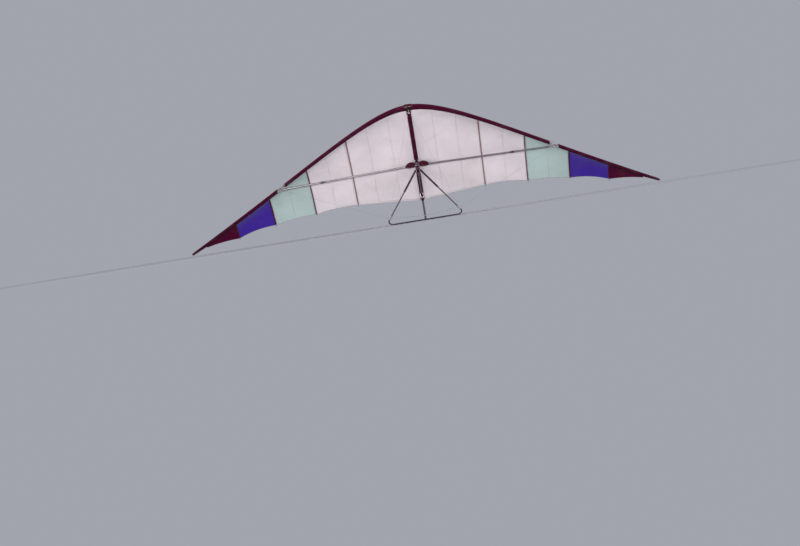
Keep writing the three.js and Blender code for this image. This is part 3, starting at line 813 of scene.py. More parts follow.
class Finish(Enum):
    """Every finish on the glider."""

    WHITE_CLOTH = Sailcloth("white sailcloth", "sail_white", (0.83, 0.775, 0.8))
    TURQUOISE_CLOTH = Sailcloth("turquoise sailcloth", "sail_turquoise", (0.55, 0.665, 0.65))
    BLUE_CLOTH = Sailcloth("blue sailcloth", "sail_blue", (0.05, 0.011, 0.36), glow=0.22)
    MAROON_CLOTH = Sailcloth("maroon sailcloth", "sail_maroon", (0.085, 0.002, 0.03), glow=0.18, sheen=0.0)
    POCKET_CLOTH = Sailcloth("maroon pocket cloth", "pocket_maroon", (0.05, 0.001, 0.017), **DULL)
    DARK_BATTEN = Sailcloth("maroon batten cloth", "pocket_maroon", (0.1, 0.013, 0.03), **MATT)
    RUSSET_BATTEN = Sailcloth("russet batten cloth", "pocket_maroon", (0.16, 0.075, 0.1), **MATT)
    BROWN_BATTEN = Sailcloth("brown batten cloth", "pocket_maroon", (0.3, 0.185, 0.2), **MATT)
    PALE_THREAD = Moulded("pale thread", "sail_white", (0.62, 0.57, 0.6), **FINE_GRAIN)
    DARK_THREAD = Moulded("dark thread", "pocket_maroon", (0.05, 0.008, 0.014), **FINE_GRAIN)
    BRIGHT_TUBE = Tubing("bright tube", "tube", (0.62, 0.6, 0.62), 0.3)
    # Painted shade: a darker copy of the tube metal, standing in for the shade on the keel, crossbar and
    # downtubes.
    DULL_TUBE = Tubing("weathered tube", "tube", (0.27, 0.235, 0.25), 0.4)
    BLACK_TUBE = Tubing("black bar", "black_tube", (0.02, 0.016, 0.03), 0.36, 0.0, 0.4, 0.25)
    BRACKET = Machined("milled bracket", "bracket", (0.66, 0.65, 0.66))
    DARK_METAL = Machined("dark anodised metal", "bracket", (0.075, 0.03, 0.035), 0.42)
    MAUVE_METAL = Machined("mauve anodised metal", "bracket", (0.36, 0.2, 0.27), 0.45)
    PLATE = Machined("steel plate", "plate", (0.56, 0.56, 0.58), 0.28)
    STRAND = Strand("wire strand", "wire", (0.42, 0.42, 0.44))
    FOAM = Moulded("foam sleeve", "foam", (0.034, 0.015, 0.024), 0.7, 420.0, 0.0006)
    RUBBER = Moulded("black rubber", "cap", (0.02, 0.019, 0.02), 0.55)
    PALE_PLASTIC = Moulded("pale plastic", "tip", (0.62, 0.59, 0.61), 0.42, **SMOOTH_GRAIN)
    DARK_PLASTIC = Moulded("dark plastic", "tip", (0.03, 0.012, 0.02), 0.42, **SMOOTH_GRAIN)
    RED_CLOTH = Quilting("red boot cloth", "boot_red", (0.04, 0.0009, 0.0105))
    WEBBING = Webbing("hang webbing", "webbing", (0.028, 0.026, 0.045))


class Wardrobe:
    """Hands out each finish's material, made the first time it is asked for."""

    def __init__(self) -> None:
        """Starts with nothing made."""
        self.made: dict[Finish, bpy.types.Material] = {}

    def material(self, finish: Finish) -> bpy.types.Material:
        """The material of a finish."""
        if finish not in self.made:
            self.made[finish] = finish.value.material()
        return self.made[finish]

    def dress(
        self, piece: Piece, finish: Finish, body: Body = Body.AIRFRAME, nodes: Iterable[str] = ()
    ) -> Piece:
        """Finishes a piece, rides it on its body and hides what it stands for.

        Args:
            piece: The piece.
            finish: Its finish.
            body: The body that it moves with.
            nodes: Solids that it replaces.

        Returns:
            The piece.
        """
        piece.data.materials.clear()
        piece.data.materials.append(self.material(finish))
        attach(piece, body.value)
        if nodes:
            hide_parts(*nodes)
        log.info("%s: %d faces, %s", piece.name, len(piece.data.polygons), finish.value.name)
        return piece


WARDROBE = Wardrobe()


class Growth(Graph):
    """Builds one Geometry Nodes tree that repeats a small shape, and grows pieces with it."""

    def __init__(self, name: str, sizes: dict[str, float]) -> None:
        """Makes the tree's ends.

        Args:
            name: The tree's name.
            sizes: Its number inputs and their usual values.
        """
        super().__init__(bpy.data.node_groups.new(name, "GeometryNodeTree"))
        face = self.tree.interface
        face.new_socket("Geometry", in_out="INPUT", socket_type="NodeSocketGeometry")
        for label, value in sizes.items():
            face.new_socket(label, in_out="INPUT", socket_type="NodeSocketFloat").default_value = value
        face.new_socket("Material", in_out="INPUT", socket_type="NodeSocketMaterial")
        face.new_socket("Geometry", in_out="OUTPUT", socket_type="NodeSocketGeometry")
        self.source = self.tree.nodes.new("NodeGroupInput")
        self.sink = self.tree.nodes.new("NodeGroupOutput")

    def size(self, label: str) -> Socket:
        """One of the tree's inputs."""
        return self.source.outputs[label]

    def reckon(self, operation: str, first: object, second: object) -> Socket:
        """The result of one Math node."""
        return self.node("ShaderNodeMath", {"operation": operation}, {0: first, 1: second}).outputs[0]

    def times(self, first: Socket, second: object) -> Socket:
        """The product of two numbers."""
        return self.reckon("MULTIPLY", first, second)

    def vector(self, x: object = 0.0, y: object = 0.0, z: object = 0.0) -> Socket:
        """A vector of three numbers."""
        return self.node("ShaderNodeCombineXYZ", inputs={0: x, 1: y, 2: z}).outputs[0]

    def stored(self, label: str) -> Socket:
        """A direction that is stored at each point."""
        node = self.node("GeometryNodeInputNamedAttribute", {"data_type": "FLOAT_VECTOR"}, {"Name": label})
        return node.outputs["Attribute"]

    def shaped(self, shape: bpy.types.Node, **inputs: object) -> Socket:
        """A shape moved or scaled."""
        return self.node("GeometryNodeTransform", inputs={"Geometry": shape.outputs[0], **inputs}).outputs[0]

    def facing(self, along: Socket) -> Socket:
        """The turn that puts z on the stored direction up, and x along a direction."""
        axes = {"primary_axis": "Z", "secondary_axis": "X"}
        return self.node("FunctionNodeAxesToRotation", axes, {0: self.stored("up"), 1: along}).outputs[0]

    def finish(self, points: Socket, shape: Socket, turn: Socket) -> None:
        """Ends the tree: one shape at each point, made real, with its material."""
        inputs = {"Points": points, "Instance": shape, "Rotation": turn}
        placed = self.node("GeometryNodeInstanceOnPoints", inputs=inputs)
        real = self.node("GeometryNodeRealizeInstances", inputs={0: placed.outputs[0]})
        inputs = {"Geometry": real.outputs[0], "Material": self.size("Material")}
        coloured = self.node("GeometryNodeSetMaterial", inputs=inputs)
        self.tree.links.new(coloured.outputs[0], self.sink.inputs[0])

    def grow(self, name: str, rows: Sequence["Row"], finish: Finish, **sizes: float) -> Piece:
        """Grows a piece on rows of points.

        Args:
            name: The piece's name.
            rows: Where the shapes go.
            finish: The piece's finish.
            sizes: Inputs of the tree that differ from their usual values.

        Returns:
            The piece as a plain mesh.
        """
        points = [p for row in rows for p in row.points]
        edges, first = [], 0
        for row in rows:
            edges += [(first + i, first + i + 1) for i in range(len(row.points) - 1)] if row.linked else []
            first += len(row.points)
        mesh = bpy.data.meshes.new(name)
        mesh.from_pydata([tuple(p) for p in points], edges, [])
        for label in ("up", "along"):
            values = [v for row in rows for v in getattr(row, label)]
            mesh.attributes.new(label, "FLOAT_VECTOR", "POINT").data.foreach_set("vector", np.ravel(values))
        seed = put(name, mesh)
        modifier = seed.modifiers.new("growth", "NODES")
        modifier.node_group = self.tree
        values = {**sizes, "Material": WARDROBE.material(finish)}
        for item in self.tree.interface.items_tree:
            if item.in_out == "INPUT" and item.name in values:
                modifier[item.identifier] = values[item.name]
        seed.update_tag()
        settle(seed)
        seed.data.name = name
        smooth(seed.data, GROWN_ANGLE)
        return WARDROBE.dress(seed, finish)


@dataclass
class Row:
    """Points that a shape is repeated on, with the directions up and along at each."""

    points: list[Vector]
    up: list[Vector]
    along: list[Vector] = field(default_factory=list)
    linked: bool = True

    def __post_init__(self) -> None:
        """Works out the direction along where it isn't given."""
        if not self.along:
            last = len(self.points) - 1
            steps = [(i, i + 1) if i < last else (i - 1, i) for i in range(last + 1)]
            self.along = [(self.points[b] - self.points[a]).normalized() for a, b in steps]


def stitching() -> Growth:
    """A tree that sews slanting stitches along each row."""
    sizes = {"Pitch": 0.01, "Length": 0.008, "Width": 0.0016, "Height": 0.0012, "Slant": 0.5}
    tree = Growth("stitching", sizes)
    path = tree.node("GeometryNodeMeshToCurve", inputs={0: tree.size("Geometry")})
    inputs = {"Curve": path.outputs[0], "Length": tree.size("Pitch")}
    even = tree.node("GeometryNodeResampleCurve", {"mode": "LENGTH"}, inputs)
    odd = tree.reckon("MODULO", tree.node("GeometryNodeInputIndex").outputs[0], 2.0)
    angle = tree.times(tree.times(tree.reckon("SUBTRACT", odd, 0.5), 2.0), tree.size("Slant"))
    lean = tree.node("FunctionNodeAxisAngleToRotation", inputs={"Axis": (0, 0, 1), "Angle": angle})
    turn = tree.facing(tree.node("GeometryNodeInputTangent").outputs[0])
    inputs = {"Rotation": turn, "Rotate By": lean.outputs[0]}
    turn = tree.node("FunctionNodeRotateRotation", {"rotation_space": "LOCAL"}, inputs)
    bead = tree.node("GeometryNodeMeshIcoSphere", inputs={"Radius": 0.5, "Subdivisions": 1})
    scale = tree.vector(*(tree.size(label) for label in ("Length", "Width", "Height")))
    tree.finish(even.outputs[0], tree.shaped(bead, Scale=scale), turn.outputs[0])
    return tree


WASHER, NUT, BOLT = (20, 1.3, 0.16), (6, 1.0, 0.66), (14, 0.52, 0.9)


def fasteners() -> Growth:
    """A tree that sets a washer, a nut and a bolt's rounded end at each point.

    Each of the three is a number of sides, a share of the input radius and a share of the input height.
    """
    tree = Growth("fasteners", {"Radius": 0.007, "Height": 0.01})
    radius, height = tree.size("Radius"), tree.size("Height")
    parts = []
    for sides, width, tall in (WASHER, NUT, BOLT):
        inputs = {"Vertices": sides, "Radius": tree.times(radius, width), "Depth": tree.times(height, tall)}
        disc = tree.node("GeometryNodeMeshCylinder", inputs=inputs)
        parts.append(tree.shaped(disc, Translation=tree.vector(z=tree.times(height, tall / 2))))
    inputs = {"Radius": tree.times(radius, 0.5), "Subdivisions": 2}
    dome = tree.node("GeometryNodeMeshIcoSphere", inputs=inputs)
    parts.append(tree.shaped(dome, Translation=tree.vector(z=tree.times(height, 0.88)), Scale=(1, 1, 0.5)))
    whole = tree.node("GeometryNodeJoinGeometry")
    for part in parts:
        tree.tree.links.new(part, whole.inputs[0])
    tree.finish(tree.size("Geometry"), whole.outputs[0], tree.facing(tree.stored("along")))
    return tree


def rivets() -> Growth:
    """A tree that sets a domed rivet or eyelet rim at each point."""
    tree = Growth("rivets", {"Radius": 0.004, "Rise": 0.45})
    dome = tree.node("GeometryNodeMeshIcoSphere", inputs={"Radius": tree.size("Radius"), "Subdivisions": 2})
    low = tree.shaped(dome, Scale=tree.vector(1.0, 1.0, tree.size("Rise")))
    tree.finish(tree.size("Geometry"), low, tree.facing(tree.stored("along")))
    return tree


STITCHING = stitching()
FASTENERS = fasteners()
RIVETS = rivets()


def thicken(piece: Piece, thickness: float, offset: float = 0.0) -> None:
    """Gives a surface its thickness, to both sides of it or, with offset -1, inwards."""
    modifier = piece.modifiers.new("cloth", "SOLIDIFY")
    modifier.thickness, modifier.offset = thickness, offset


def flat_area(piece: Piece) -> float:
    """The area of a surface in square metres."""
    return sum(face.area for face in piece.data.polygons)


def declare_cloth(piece: Piece, flat: Sequence[float]) -> None:
    """Works out how much cloth a piece has, at most its flat cut, and does nothing with it."""
    area = min(flat_area(piece), flat[0] * flat[1])


class Face(Enum):
    """The sail's two faces, each with the sign of its lift."""

    UPPER = 1
    UNDER = -1


@dataclass
class Sail:
    """One half of the sail: five panels, their seams, hems, batten pockets and patches."""

    side: Side
    thickness: float = 0.001
    column: float = 0.06
    rows: int = 44
    mast: float = 1.75
    hole: float = 0.044
    patch: float = 0.11
    seams: tuple[float, ...] = (0.46, 0.93, 1.86, 2.78, 3.67)
    seam_width: float = 0.016
    hem_width: float = 0.024
    tape_width: float = 0.018
    flange: float = 0.044
    pocket_half: float = 0.014
    pocket_depth: float = 0.0085
    pocket_inset: float = 0.007
    first: float = 0.02
    tape: float = 0.0008
    tape_lift: float = 0.0011
    doubling: float = 0.0012
    gap: float = 0.0016
    batten_lift: float = 0.0052
    stitch_lift: float = 0.0018
    seam_stitch: float = 0.0055
    pocket_stitch: float = 0.0108
    hem_stitches: tuple[float, float] = (0.005, 0.019)
    front_stitches: tuple[float, float] = (0.004, 0.014)
    eyelet_steps: tuple[float, float] = (-0.031, 0.017)
    eyelet_row: float = 0.985
    first_rows: tuple[float, float] = (0.004, 0.01)
    ridge: tuple[float, float] = (0.0062, 0.0012)
    cord_half: float = 0.024
    cord_sag: float = 0.014
    cord_reach: float = 0.03
    cord_lift: float = 0.0035
    cord_radius: float = 0.0012
    margin: tuple[float, float] = (1.03, 1.04)
    names: tuple[str, ...] = ("root", "inner", "middle", "outer", "tip")
    cloths: tuple[Finish, ...] = (
        Finish.WHITE_CLOTH,
        Finish.WHITE_CLOTH,
        Finish.TURQUOISE_CLOTH,
        Finish.BLUE_CLOTH,
        Finish.MAROON_CLOTH,
    )
    battens: tuple[Finish, ...] = (
        Finish.BROWN_BATTEN,
        Finish.RUSSET_BATTEN,
        Finish.DARK_BATTEN,
        Finish.DARK_BATTEN,
    )
    flanges: tuple[tuple[str, float, float], ...] = (
        ("front", 0.16, 1.7),
        ("middle", 1.892, 2.022),
        ("rear", 2.078, 2.96),
    )

    def station(self, k: int) -> float:
        """How far a batten is from the keel."""
        return WING.trailing_edge[k].x

    def chord(self, x: float) -> float:
        """The sail's length from hem to trailing edge at a distance from the keel."""
        return WING.trailing(x)[0] - WING.hem(x)[0]

    def spot(self, x: float, t: float, lift: float = 0.0) -> Vector:
        """A place on the sail, lifted off its middle."""
        return WING.at(WING.sail(self.side, x, t, lift))

    def cloth(
        self,
        name: str,
        us: Sequence[float],
        ts: Sequence[float],
        spot: Callable[[float, float], tuple[float, float]],
        lift: float = 0.0,
        thickness: float = 0.0,
    ) -> Piece:
        """A layer of cloth that follows the sail.

        Args:
            name: The piece's name.
            us: Stations across it.
            ts: Stations along the chord.
            spot: Gives the distance from the keel and the place on the chord of a pair of stations.
            lift: Height of its middle above the sail's.
            thickness: Its own thickness, or the sail's where it isn't given.

        Returns:
            The layer, with its upper side facing up.
        """
        points, flat, faces, uv = [], [], [], []
        for u in us:
            for t in ts:
                x, place = spot(u, t)
                local = WING.sail(self.side, x, place, lift)
                points.append(WING.at(local))
                flat.append(local[:2])
        count = len(ts)
        for i in range(len(us) - 1):
            for j in range(count - 1):
                quad = (i * count + j, (i + 1) * count + j, (i + 1) * count + j + 1, i * count + j + 1)
                quad = quad if self.side is Side.RIGHT else quad[::-1]
                faces.append(quad)
                uv += [flat[k] for k in quad]
        piece = make_mesh(name, points, faces, uv)
        thicken(piece, thickness or self.thickness)
        return piece

    def band(self, name: str, x: float, width: float, lift: float, start: float = 0.0) -> Piece:
        """A strip of cloth along the chord, centred at a distance from the keel."""
        ts = list(np.linspace(start, 1.0, self.rows))
        us = [-width / 2, 0.0, width / 2]
        return self.cloth(name, us, ts, lambda u, t: (max(0.0, x + u), t), lift, self.tape)

    def along_span(self, name: str, k: int, face: Face, width: float, front: bool) -> Piece:
        """A tape along the hem or the trailing edge of a panel."""
        a, b = self.station(k), self.station(k + 1)
        us = list(np.linspace(a, b, max(6, int((b - a) / self.column))))

        def spot(u: float, t: float) -> tuple[float, float]:
            """The tape's width taken off one end of the chord."""
            run = width * t / self.chord(u)
            return u, (run if front else 1.0 - run)

        ts = [0.0, 0.5, 1.0] if front else [1.0, 0.5, 0.0]
        return self.cloth(name, us, ts, spot, face.value * self.tape_lift, self.tape)

    def panel(self, k: int) -> Piece:
        """One panel from batten to batten. The root's inner edge goes round the kingpost."""
        a, b = self.station(k), self.station(k + 1)
        us = list(np.linspace(0.0, 1.0, max(9, int((b - a) / self.column))))
        ts = {*np.linspace(0.0, 1.0, self.rows), *self.first_rows}
        front, back = WING.hem(0.0)[0], WING.trailing(0.0)[0]
        if k == 0:
            middle, arc = WING.chord_place(0.0, self.mast), np.linspace(-math.pi / 2, math.pi / 2, 17)
            ts |= {middle + self.hole * math.sin(angle) / (back - front) for angle in arc}

        def spot(u: float, t: float) -> tuple[float, float]:
            """A place on the panel, clear of the kingpost's hole."""
            off = front + t * (back - front) - self.mast
            inner = math.sqrt(max(0.0, self.hole**2 - off**2)) if k == 0 else a
            return inner + u * (b - inner), t

        node = f"sail_{self.names[k]}_{self.side.tag}"
        piece = self.cloth(f"{node}_cloth", us, sorted(ts), spot)
        return WARDROBE.dress(piece, self.cloths[k], nodes=[node])

    def pocket(self, k: int) -> Piece:
        """The pocket on the underside that holds the batten along a panel's outer edge."""
        x = self.station(k + 1) - self.pocket_inset
        half, deep = self.pocket_half, self.pocket_depth
        width, foot = self.ridge
        arc = [(width * math.cos(a), -foot - deep * math.sin(a)) for a in np.linspace(0, math.pi, 9)]
        section = [(half, -self.tape), (half, -self.gap), *arc, (-half, -self.gap), (-half, -self.tape)]
        ts = np.linspace(self.first / self.chord(x), 1.0, self.rows)
        rings = [[self.spot(x + u, t, lift) for u, lift in section] for t in ts]
        return WARDROBE.dress(ring_mesh(f"batten_pocket_{k + 1}_{self.side.tag}", rings), self.battens[k])

    def batten_tip(self, k: int) -> list[Piece]:
        """The batten's end beyond the trailing edge, with the cord that holds it."""
        x = self.station(k + 1) - self.pocket_inset
        edge = self.spot(x, 1.0, -self.batten_lift)
        along = (edge - self.spot(x, self.eyelet_row, -self.batten_lift)).normalized()
        start = edge - along * 0.01
        profile = [(0, 0.0035), (0.001, 0.0044), (0.026, 0.0044), (0.027, 0.0035)]
        stem = turned("stem", start, edge, profile, 20)
        WARDROBE.dress(stem, Finish.BRIGHT_TUBE)
        profile = [(0.016, 0.0044), (0.017, 0.0058), (0.034, 0.0058), (0.036, 0.0042)]
        profile += [(0.039, 0.0042), (0.041, 0.0056), (0.046, 0.0052), (0.049, 0.003)]
        tip = turned("tip", start, edge, profile, 20)
        cord = []
        for u in np.linspace(-1.0, 1.0, 25):
            foot = self.spot(x + self.cord_half * u, 1.0 - self.cord_sag * abs(u) ** 2, -self.cord_lift)
            cord.append(foot + along * (1 - abs(u) ** 1.6) * self.cord_reach)
        place = f"{k + 1}_{self.side.tag}"
        loop = tube(f"batten_cord_{place}", cord, self.cord_radius, 8)
        stem.name, tip.name = f"batten_{place}", f"batten_tip_{place}"
        return [stem, WARDROBE.dress(tip, Finish.RUBBER), WARDROBE.dress(loop, Finish.PALE_PLASTIC)]

    def mast_patch(self) -> Piece:
        """The doubled cloth round the kingpost, on both faces."""

        def spot(u: float, t: float) -> tuple[float, float]:
            """A place at an angle and a distance round the kingpost."""
            radius, angle = self.hole + u * (self.patch - self.hole), (t - 0.5) * math.pi
            x = max(0.0, radius * math.cos(angle))
            return x, WING.chord_place(x, self.mast + radius * math.sin(angle))

        us, ts = list(np.linspace(0, 1, 4)), list(np.linspace(0, 1, 25))
        layers = [self.cloth("layer", us, ts, spot, face.value * 0.0014, self.doubling) for face in Face]
        for layer in layers:
            settle(layer)
        return WARDROBE.dress(joined(f"kingpost_patch_{self.side.tag}", layers), Finish.WHITE_CLOTH)

    def row(self, spots: Sequence[tuple[float, float]], face: Face, lift: float = 0.0) -> Row:
        """A line of stitches over the sail, on one of its faces."""
        points, ups = [], []
        for x, t in spots:
            points.append(self.spot(x, t, face.value * (lift or self.stitch_lift)))
            inward, ahead = min(t, 0.995), min(t, 0.99)
            span = self.spot(x + 0.01, inward) - self.spot(x, inward)
            chord = self.spot(x, ahead + 0.005) - self.spot(x, ahead)
            ups.append(span.cross(chord).normalized() * face.value * self.side.value)
        return Row(points, ups)

    def chord_rows(self, x: float, half: float, face: Face) -> list[Row]:
        """Two lines of stitches either side of a line along the chord."""
        ts = np.linspace(0.012, 0.992, self.rows)
        return [self.row([(max(0.004, x + s * half), t) for t in ts], face) for s in (-1, 1)]

    def span_row(self, width: float, front: bool, face: Face, start: float, end: float) -> Row:
        """A line of stitches along the hem or the trailing edge, between two distances from the keel."""
        spots = []
        for x in np.linspace(start, end, 90):
            run = width / self.chord(x)
            spots.append((x, run if front else 1 - run))
        return self.row(spots, face)

    def sew(self) -> list[Piece]:
        """Every line of stitches on this half."""
        change, outer = self.station(3), WING.sail_end - 0.01
        seams, dark = [], []
        for face in Face:
            for x in self.seams:
                (seams if x < change else dark).extend(self.chord_rows(x, self.seam_stitch, face))
            for point in WING.trailing_edge[1:-1]:
                dark += self.chord_rows(point.x - self.pocket_inset, self.pocket_stitch, face)
            for width in self.hem_stitches:
                seams.append(self.span_row(width, False, face, 0.01, change))
                dark.append(self.span_row(width, False, face, change, outer))
            dark += [self.span_row(width, True, face, 0.05, outer) for width in self.front_stitches]
        pitch = {"Pitch": 0.015, "Length": 0.0125, "Width": 0.0015}
        tag = self.side.tag
        return [
            STITCHING.grow(f"seam_stitches_{tag}", seams, Finish.PALE_THREAD, **pitch),
            STITCHING.grow(f"pocket_stitches_{tag}", dark, Finish.DARK_THREAD, **pitch),
        ]

    def eyelets(self) -> Piece:
        """Pressed eyelets in the trailing edge, beside each batten."""
        points, ups = [], []
        for point in WING.trailing_edge[1:-1]:
            for step in self.eyelet_steps:
                spots = [(point.x + step, t) for t in (self.eyelet_row, self.eyelet_row + 0.001)]
                row = self.row(spots, Face.UNDER, self.doubling)
                points.append(row.points[0])
                ups.append(row.up[0])
        along = [Vector((1, 0, 0))] * len(points)
        rows = [Row(points, ups, along, False)]
        return RIVETS.grow(f"sail_eyelets_{self.side.tag}", rows, Finish.PLATE, Radius=0.0065, Rise=0.3)

    def build(self) -> None:
        """Builds this half."""
        tag = self.side.tag
        extras: list[list[Piece]] = [[] for _ in self.names]
        for x in self.seams:
            k = WING.panel_of(x)
            inset = self.tape_width / self.chord(x)
            seam = self.band(f"cloth_seam_{round(x * 100)}_{tag}", x, self.seam_width, -self.tape_lift, inset)
            extras[k].append(WARDROBE.dress(seam, self.cloths[k]))
        for k, name in enumerate(self.names):
            back = self.along_span(f"trailing_hem_{name}_{tag}", k, Face.UNDER, self.hem_width, False)
            extras[k].append(WARDROBE.dress(back, self.cloths[k]))
            for face in Face:
                title = f"front_tape_{face.name.lower()}_{name}_{tag}"
                tape = self.along_span(title, k, face, self.tape_width, True)
                extras[k].append(WARDROBE.dress(tape, Finish.POCKET_CLOTH))
            if k < len(self.battens):
                extras[k] += [self.pocket(k), *self.batten_tip(k)]

        def root(u: float, t: float) -> tuple[float, float]:
            """A place on the strip beside the keel."""
            return u * self.flange, t

        for part, start, end in self.flanges:
            ts = [WING.chord_place(0.02, y) for y in np.linspace(start, end, 30)]
            name = f"keel_flange_{part}_{tag}"
            flange = self.cloth(name, [0.0, 0.5, 1.0], ts, root, -self.gap, self.doubling)
            extras[0].append(WARDROBE.dress(flange, Finish.POCKET_CLOTH))
        extras[0] += [self.mast_patch(), *self.sew(), self.eyelets()]
        for k in range(len(self.names)):
            a, b = self.station(k), self.station(k + 1)
            reach = max(WING.trailing(x)[0] for x in (a, b)) - WING.hem(a)[0]
            flat = (b - a) * self.margin[0], reach * self.margin[1]
            declare_cloth(self.panel(k), flat)


def softened(node: str, name: str, bevel: float) -> Piece:
    """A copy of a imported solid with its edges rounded.

    Args:
        node: The solid's name.
        name: The new piece's name.
        bevel: How much its edges are rounded.

    Returns:
        The copy.
    """
    shape = bmesh.new()
    shape.from_mesh(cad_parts[node].data)
    bmesh.ops.remove_doubles(shape, verts=shape.verts, dist=WELD)
    flat = math.radians(FLAT_ANGLE)
    bmesh.ops.dissolve_limit(shape, angle_limit=flat, verts=shape.verts, edges=shape.edges)
    mesh = bpy.data.meshes.new(name)
    soften(shape, mesh, bevel)
    return put(name, mesh)


def fastened(name: str, spots: Sequence[tuple[Vector, Vector]], radius: float, height: float) -> Piece:
    """Nuts and bolts' ends at places of the parked glider, each with the way that it points."""
    along = [up.orthogonal().normalized() for _, up in spots]
    row = Row([p for p, _ in spots], [up for _, up in spots], along, False)
    return FASTENERS.grow(name, [row], Finish.PLATE, Radius=radius, Height=height)


def bolts(name: str, spots: Sequence[tuple[Point, Point]], radius: float, height: float) -> Piece:
    """Nuts and bolts' ends at places of the wing's axes, each with the way that it points."""
    return fastened(name, [(WING.at(place), WING.turn(way)) for place, way in spots], radius, height)


@dataclass
class LeadingEdge:
    """A leading edge tube with its end cap and the sewn pocket round it."""

    side: Side
    radius: float = 0.022
    sleeve_radius: float = 0.0262
    wall: float = 0.0012
    start: float = 0.0002
    tip_taper: float = 0.55
    gather: float = 0.035
    pucker: float = 0.0012
    crease: float = 0.0007
    lip: float = 0.0017
    binding: float = 0.02
    tape: float = 0.0009
    tape_lift: float = 0.0011
    column: float = 0.035
    wrap: float = 0.0225
    spans: tuple[tuple[str, float, float], ...] = (("inner", 0.08, 2.83), ("outer", 3.01, 5.19))

    def axis(self, x: float) -> Vector:
        """The tube's axis."""
        y, z, _ = WING.spar(x)
        return WING.at((self.side.value * x, y, z))

    def section(self, x: float, ends: tuple[float, float], swell: float = 0.0) -> list[Vector]:
        """The pocket's outline round the tube, from the hem's upper side to its lower side."""
        y, z, slope = WING.spar(x)
        hem_y, hem_z = WING.hem(x)
        beyond = max(0.0, (x - WING.sail_end) / (self.spans[1][2] - WING.sail_end))
        reach = (hem_y - y) * (1 - beyond * (1 - self.tip_taper))
        gather = math.exp(-min(x - ends[0], ends[1] - x) / self.gather)
        stretch = math.hypot(1, slope)
        loop = []
        for angle in np.radians(np.linspace(58, 302, 27)):
            crease = self.crease * noise.noise(Vector((x * 9, 2 * angle, 3.0)))
            r = self.sleeve_radius + swell + self.pucker * gather * math.cos(9 * angle) + crease
            loop.append((y + stretch * r * math.cos(angle), z + r * math.sin(angle)))
        lips, shares = [], (0.0, 0.3, 0.65)
        for sign, near in ((1, loop[0]), (-1, loop[-1])):
            lip = (y + reach, hem_z + sign * (self.lip + swell))
            lips.append([(lip[0] + s * (near[0] - lip[0]), lip[1] + s * (near[1] - lip[1])) for s in shares])
        upper, lower = lips
        return [WING.at((self.side.value * x, *p)) for p in [*upper, *loop, *reversed(lower)]]

    def sleeve(self, part: str, start: float, end: float) -> None:
        """The pocket's cloth between two stations, with a bound edge at each end."""
        tag = self.side.tag
        finer = np.linspace(0, 0.05, 6)
        xs = np.unique(np.concatenate([np.arange(start, end, self.column), start + finer, end - finer]))
        rings = as_rings(self.section(x, (start, end)) for x in xs)
        cloth = ring_mesh(f"leading_edge_pocket_{part}_{tag}_cloth", rings, closed_ends=False)
        girth = np.linalg.norm(np.roll(rings, -1, axis=1) - rings, axis=2).sum(axis=1).max()
        length = np.linalg.norm(np.diff(rings.mean(axis=1), axis=0), axis=1).sum()
        thicken(cloth, self.wall, -1.0)
        WARDROBE.dress(cloth, Finish.POCKET_CLOTH, nodes=[f"leading_edge_pocket_{part}_{tag}"])
        for foot, head in ((start, start + self.binding), (end - self.binding, end)):
            tape = [self.section(x, (start, end), self.tape_lift) for x in np.linspace(foot, head, 5)]
            band = ring_mesh("binding", tape, closed_ends=False)
            thicken(band, self.tape, -1.0)
            WARDROBE.dress(band, Finish.DARK_BATTEN)
            band.name = f"pocket_binding_{part}_{round(foot * 100)}_{tag}"
        declare_cloth(cloth, (girth * 1.01, length * 1.02))

    def build(self) -> None:
        """Builds the tube, its cap, the cloth round its front end and its pocket."""
        tag = self.side.tag
        xs = np.concatenate([np.linspace(self.start, 0.9, 34), np.linspace(0.96, WING.half_span, 60)])
        rod = tube(f"leading_edge_rod_{tag}", [self.axis(x) for x in xs], self.radius)
        WARDROBE.dress(rod, Finish.BRIGHT_TUBE, nodes=[f"leading_edge_tube_{tag}"])
        end = WING.half_span
        ahead = self.axis(end) + (self.axis(end) - self.axis(end - 0.01)) * 4
        profile = [(-0.03, 0.0222), (-0.03, 0.0236), (-0.001, 0.0236), (0.0, 0.0242), (0.003, 0.0242)]
        profile += [(0.004, 0.0232), (0.0185, 0.0226), (0.0222, 0.0212), (0.0243, 0.0182)]
        profile += [(0.025, 0.012), (0.0252, 0.0015)]
        cap = turned(f"tip_cap_{tag}_moulded", self.axis(end), ahead, profile, 36)
        WARDROBE.dress(cap, Finish.DARK_PLASTIC, nodes=[f"tip_cap_{tag}"])
        front = np.linspace(0.0006, self.spans[0][1] - 0.0005, 10)
        wrap = tube(f"nose_wrap_{tag}", [self.axis(x) for x in front], self.wrap)
        WARDROBE.dress(wrap, Finish.POCKET_CLOTH)
        for part, start, stop in self.spans:
            self.sleeve(part, start, stop)


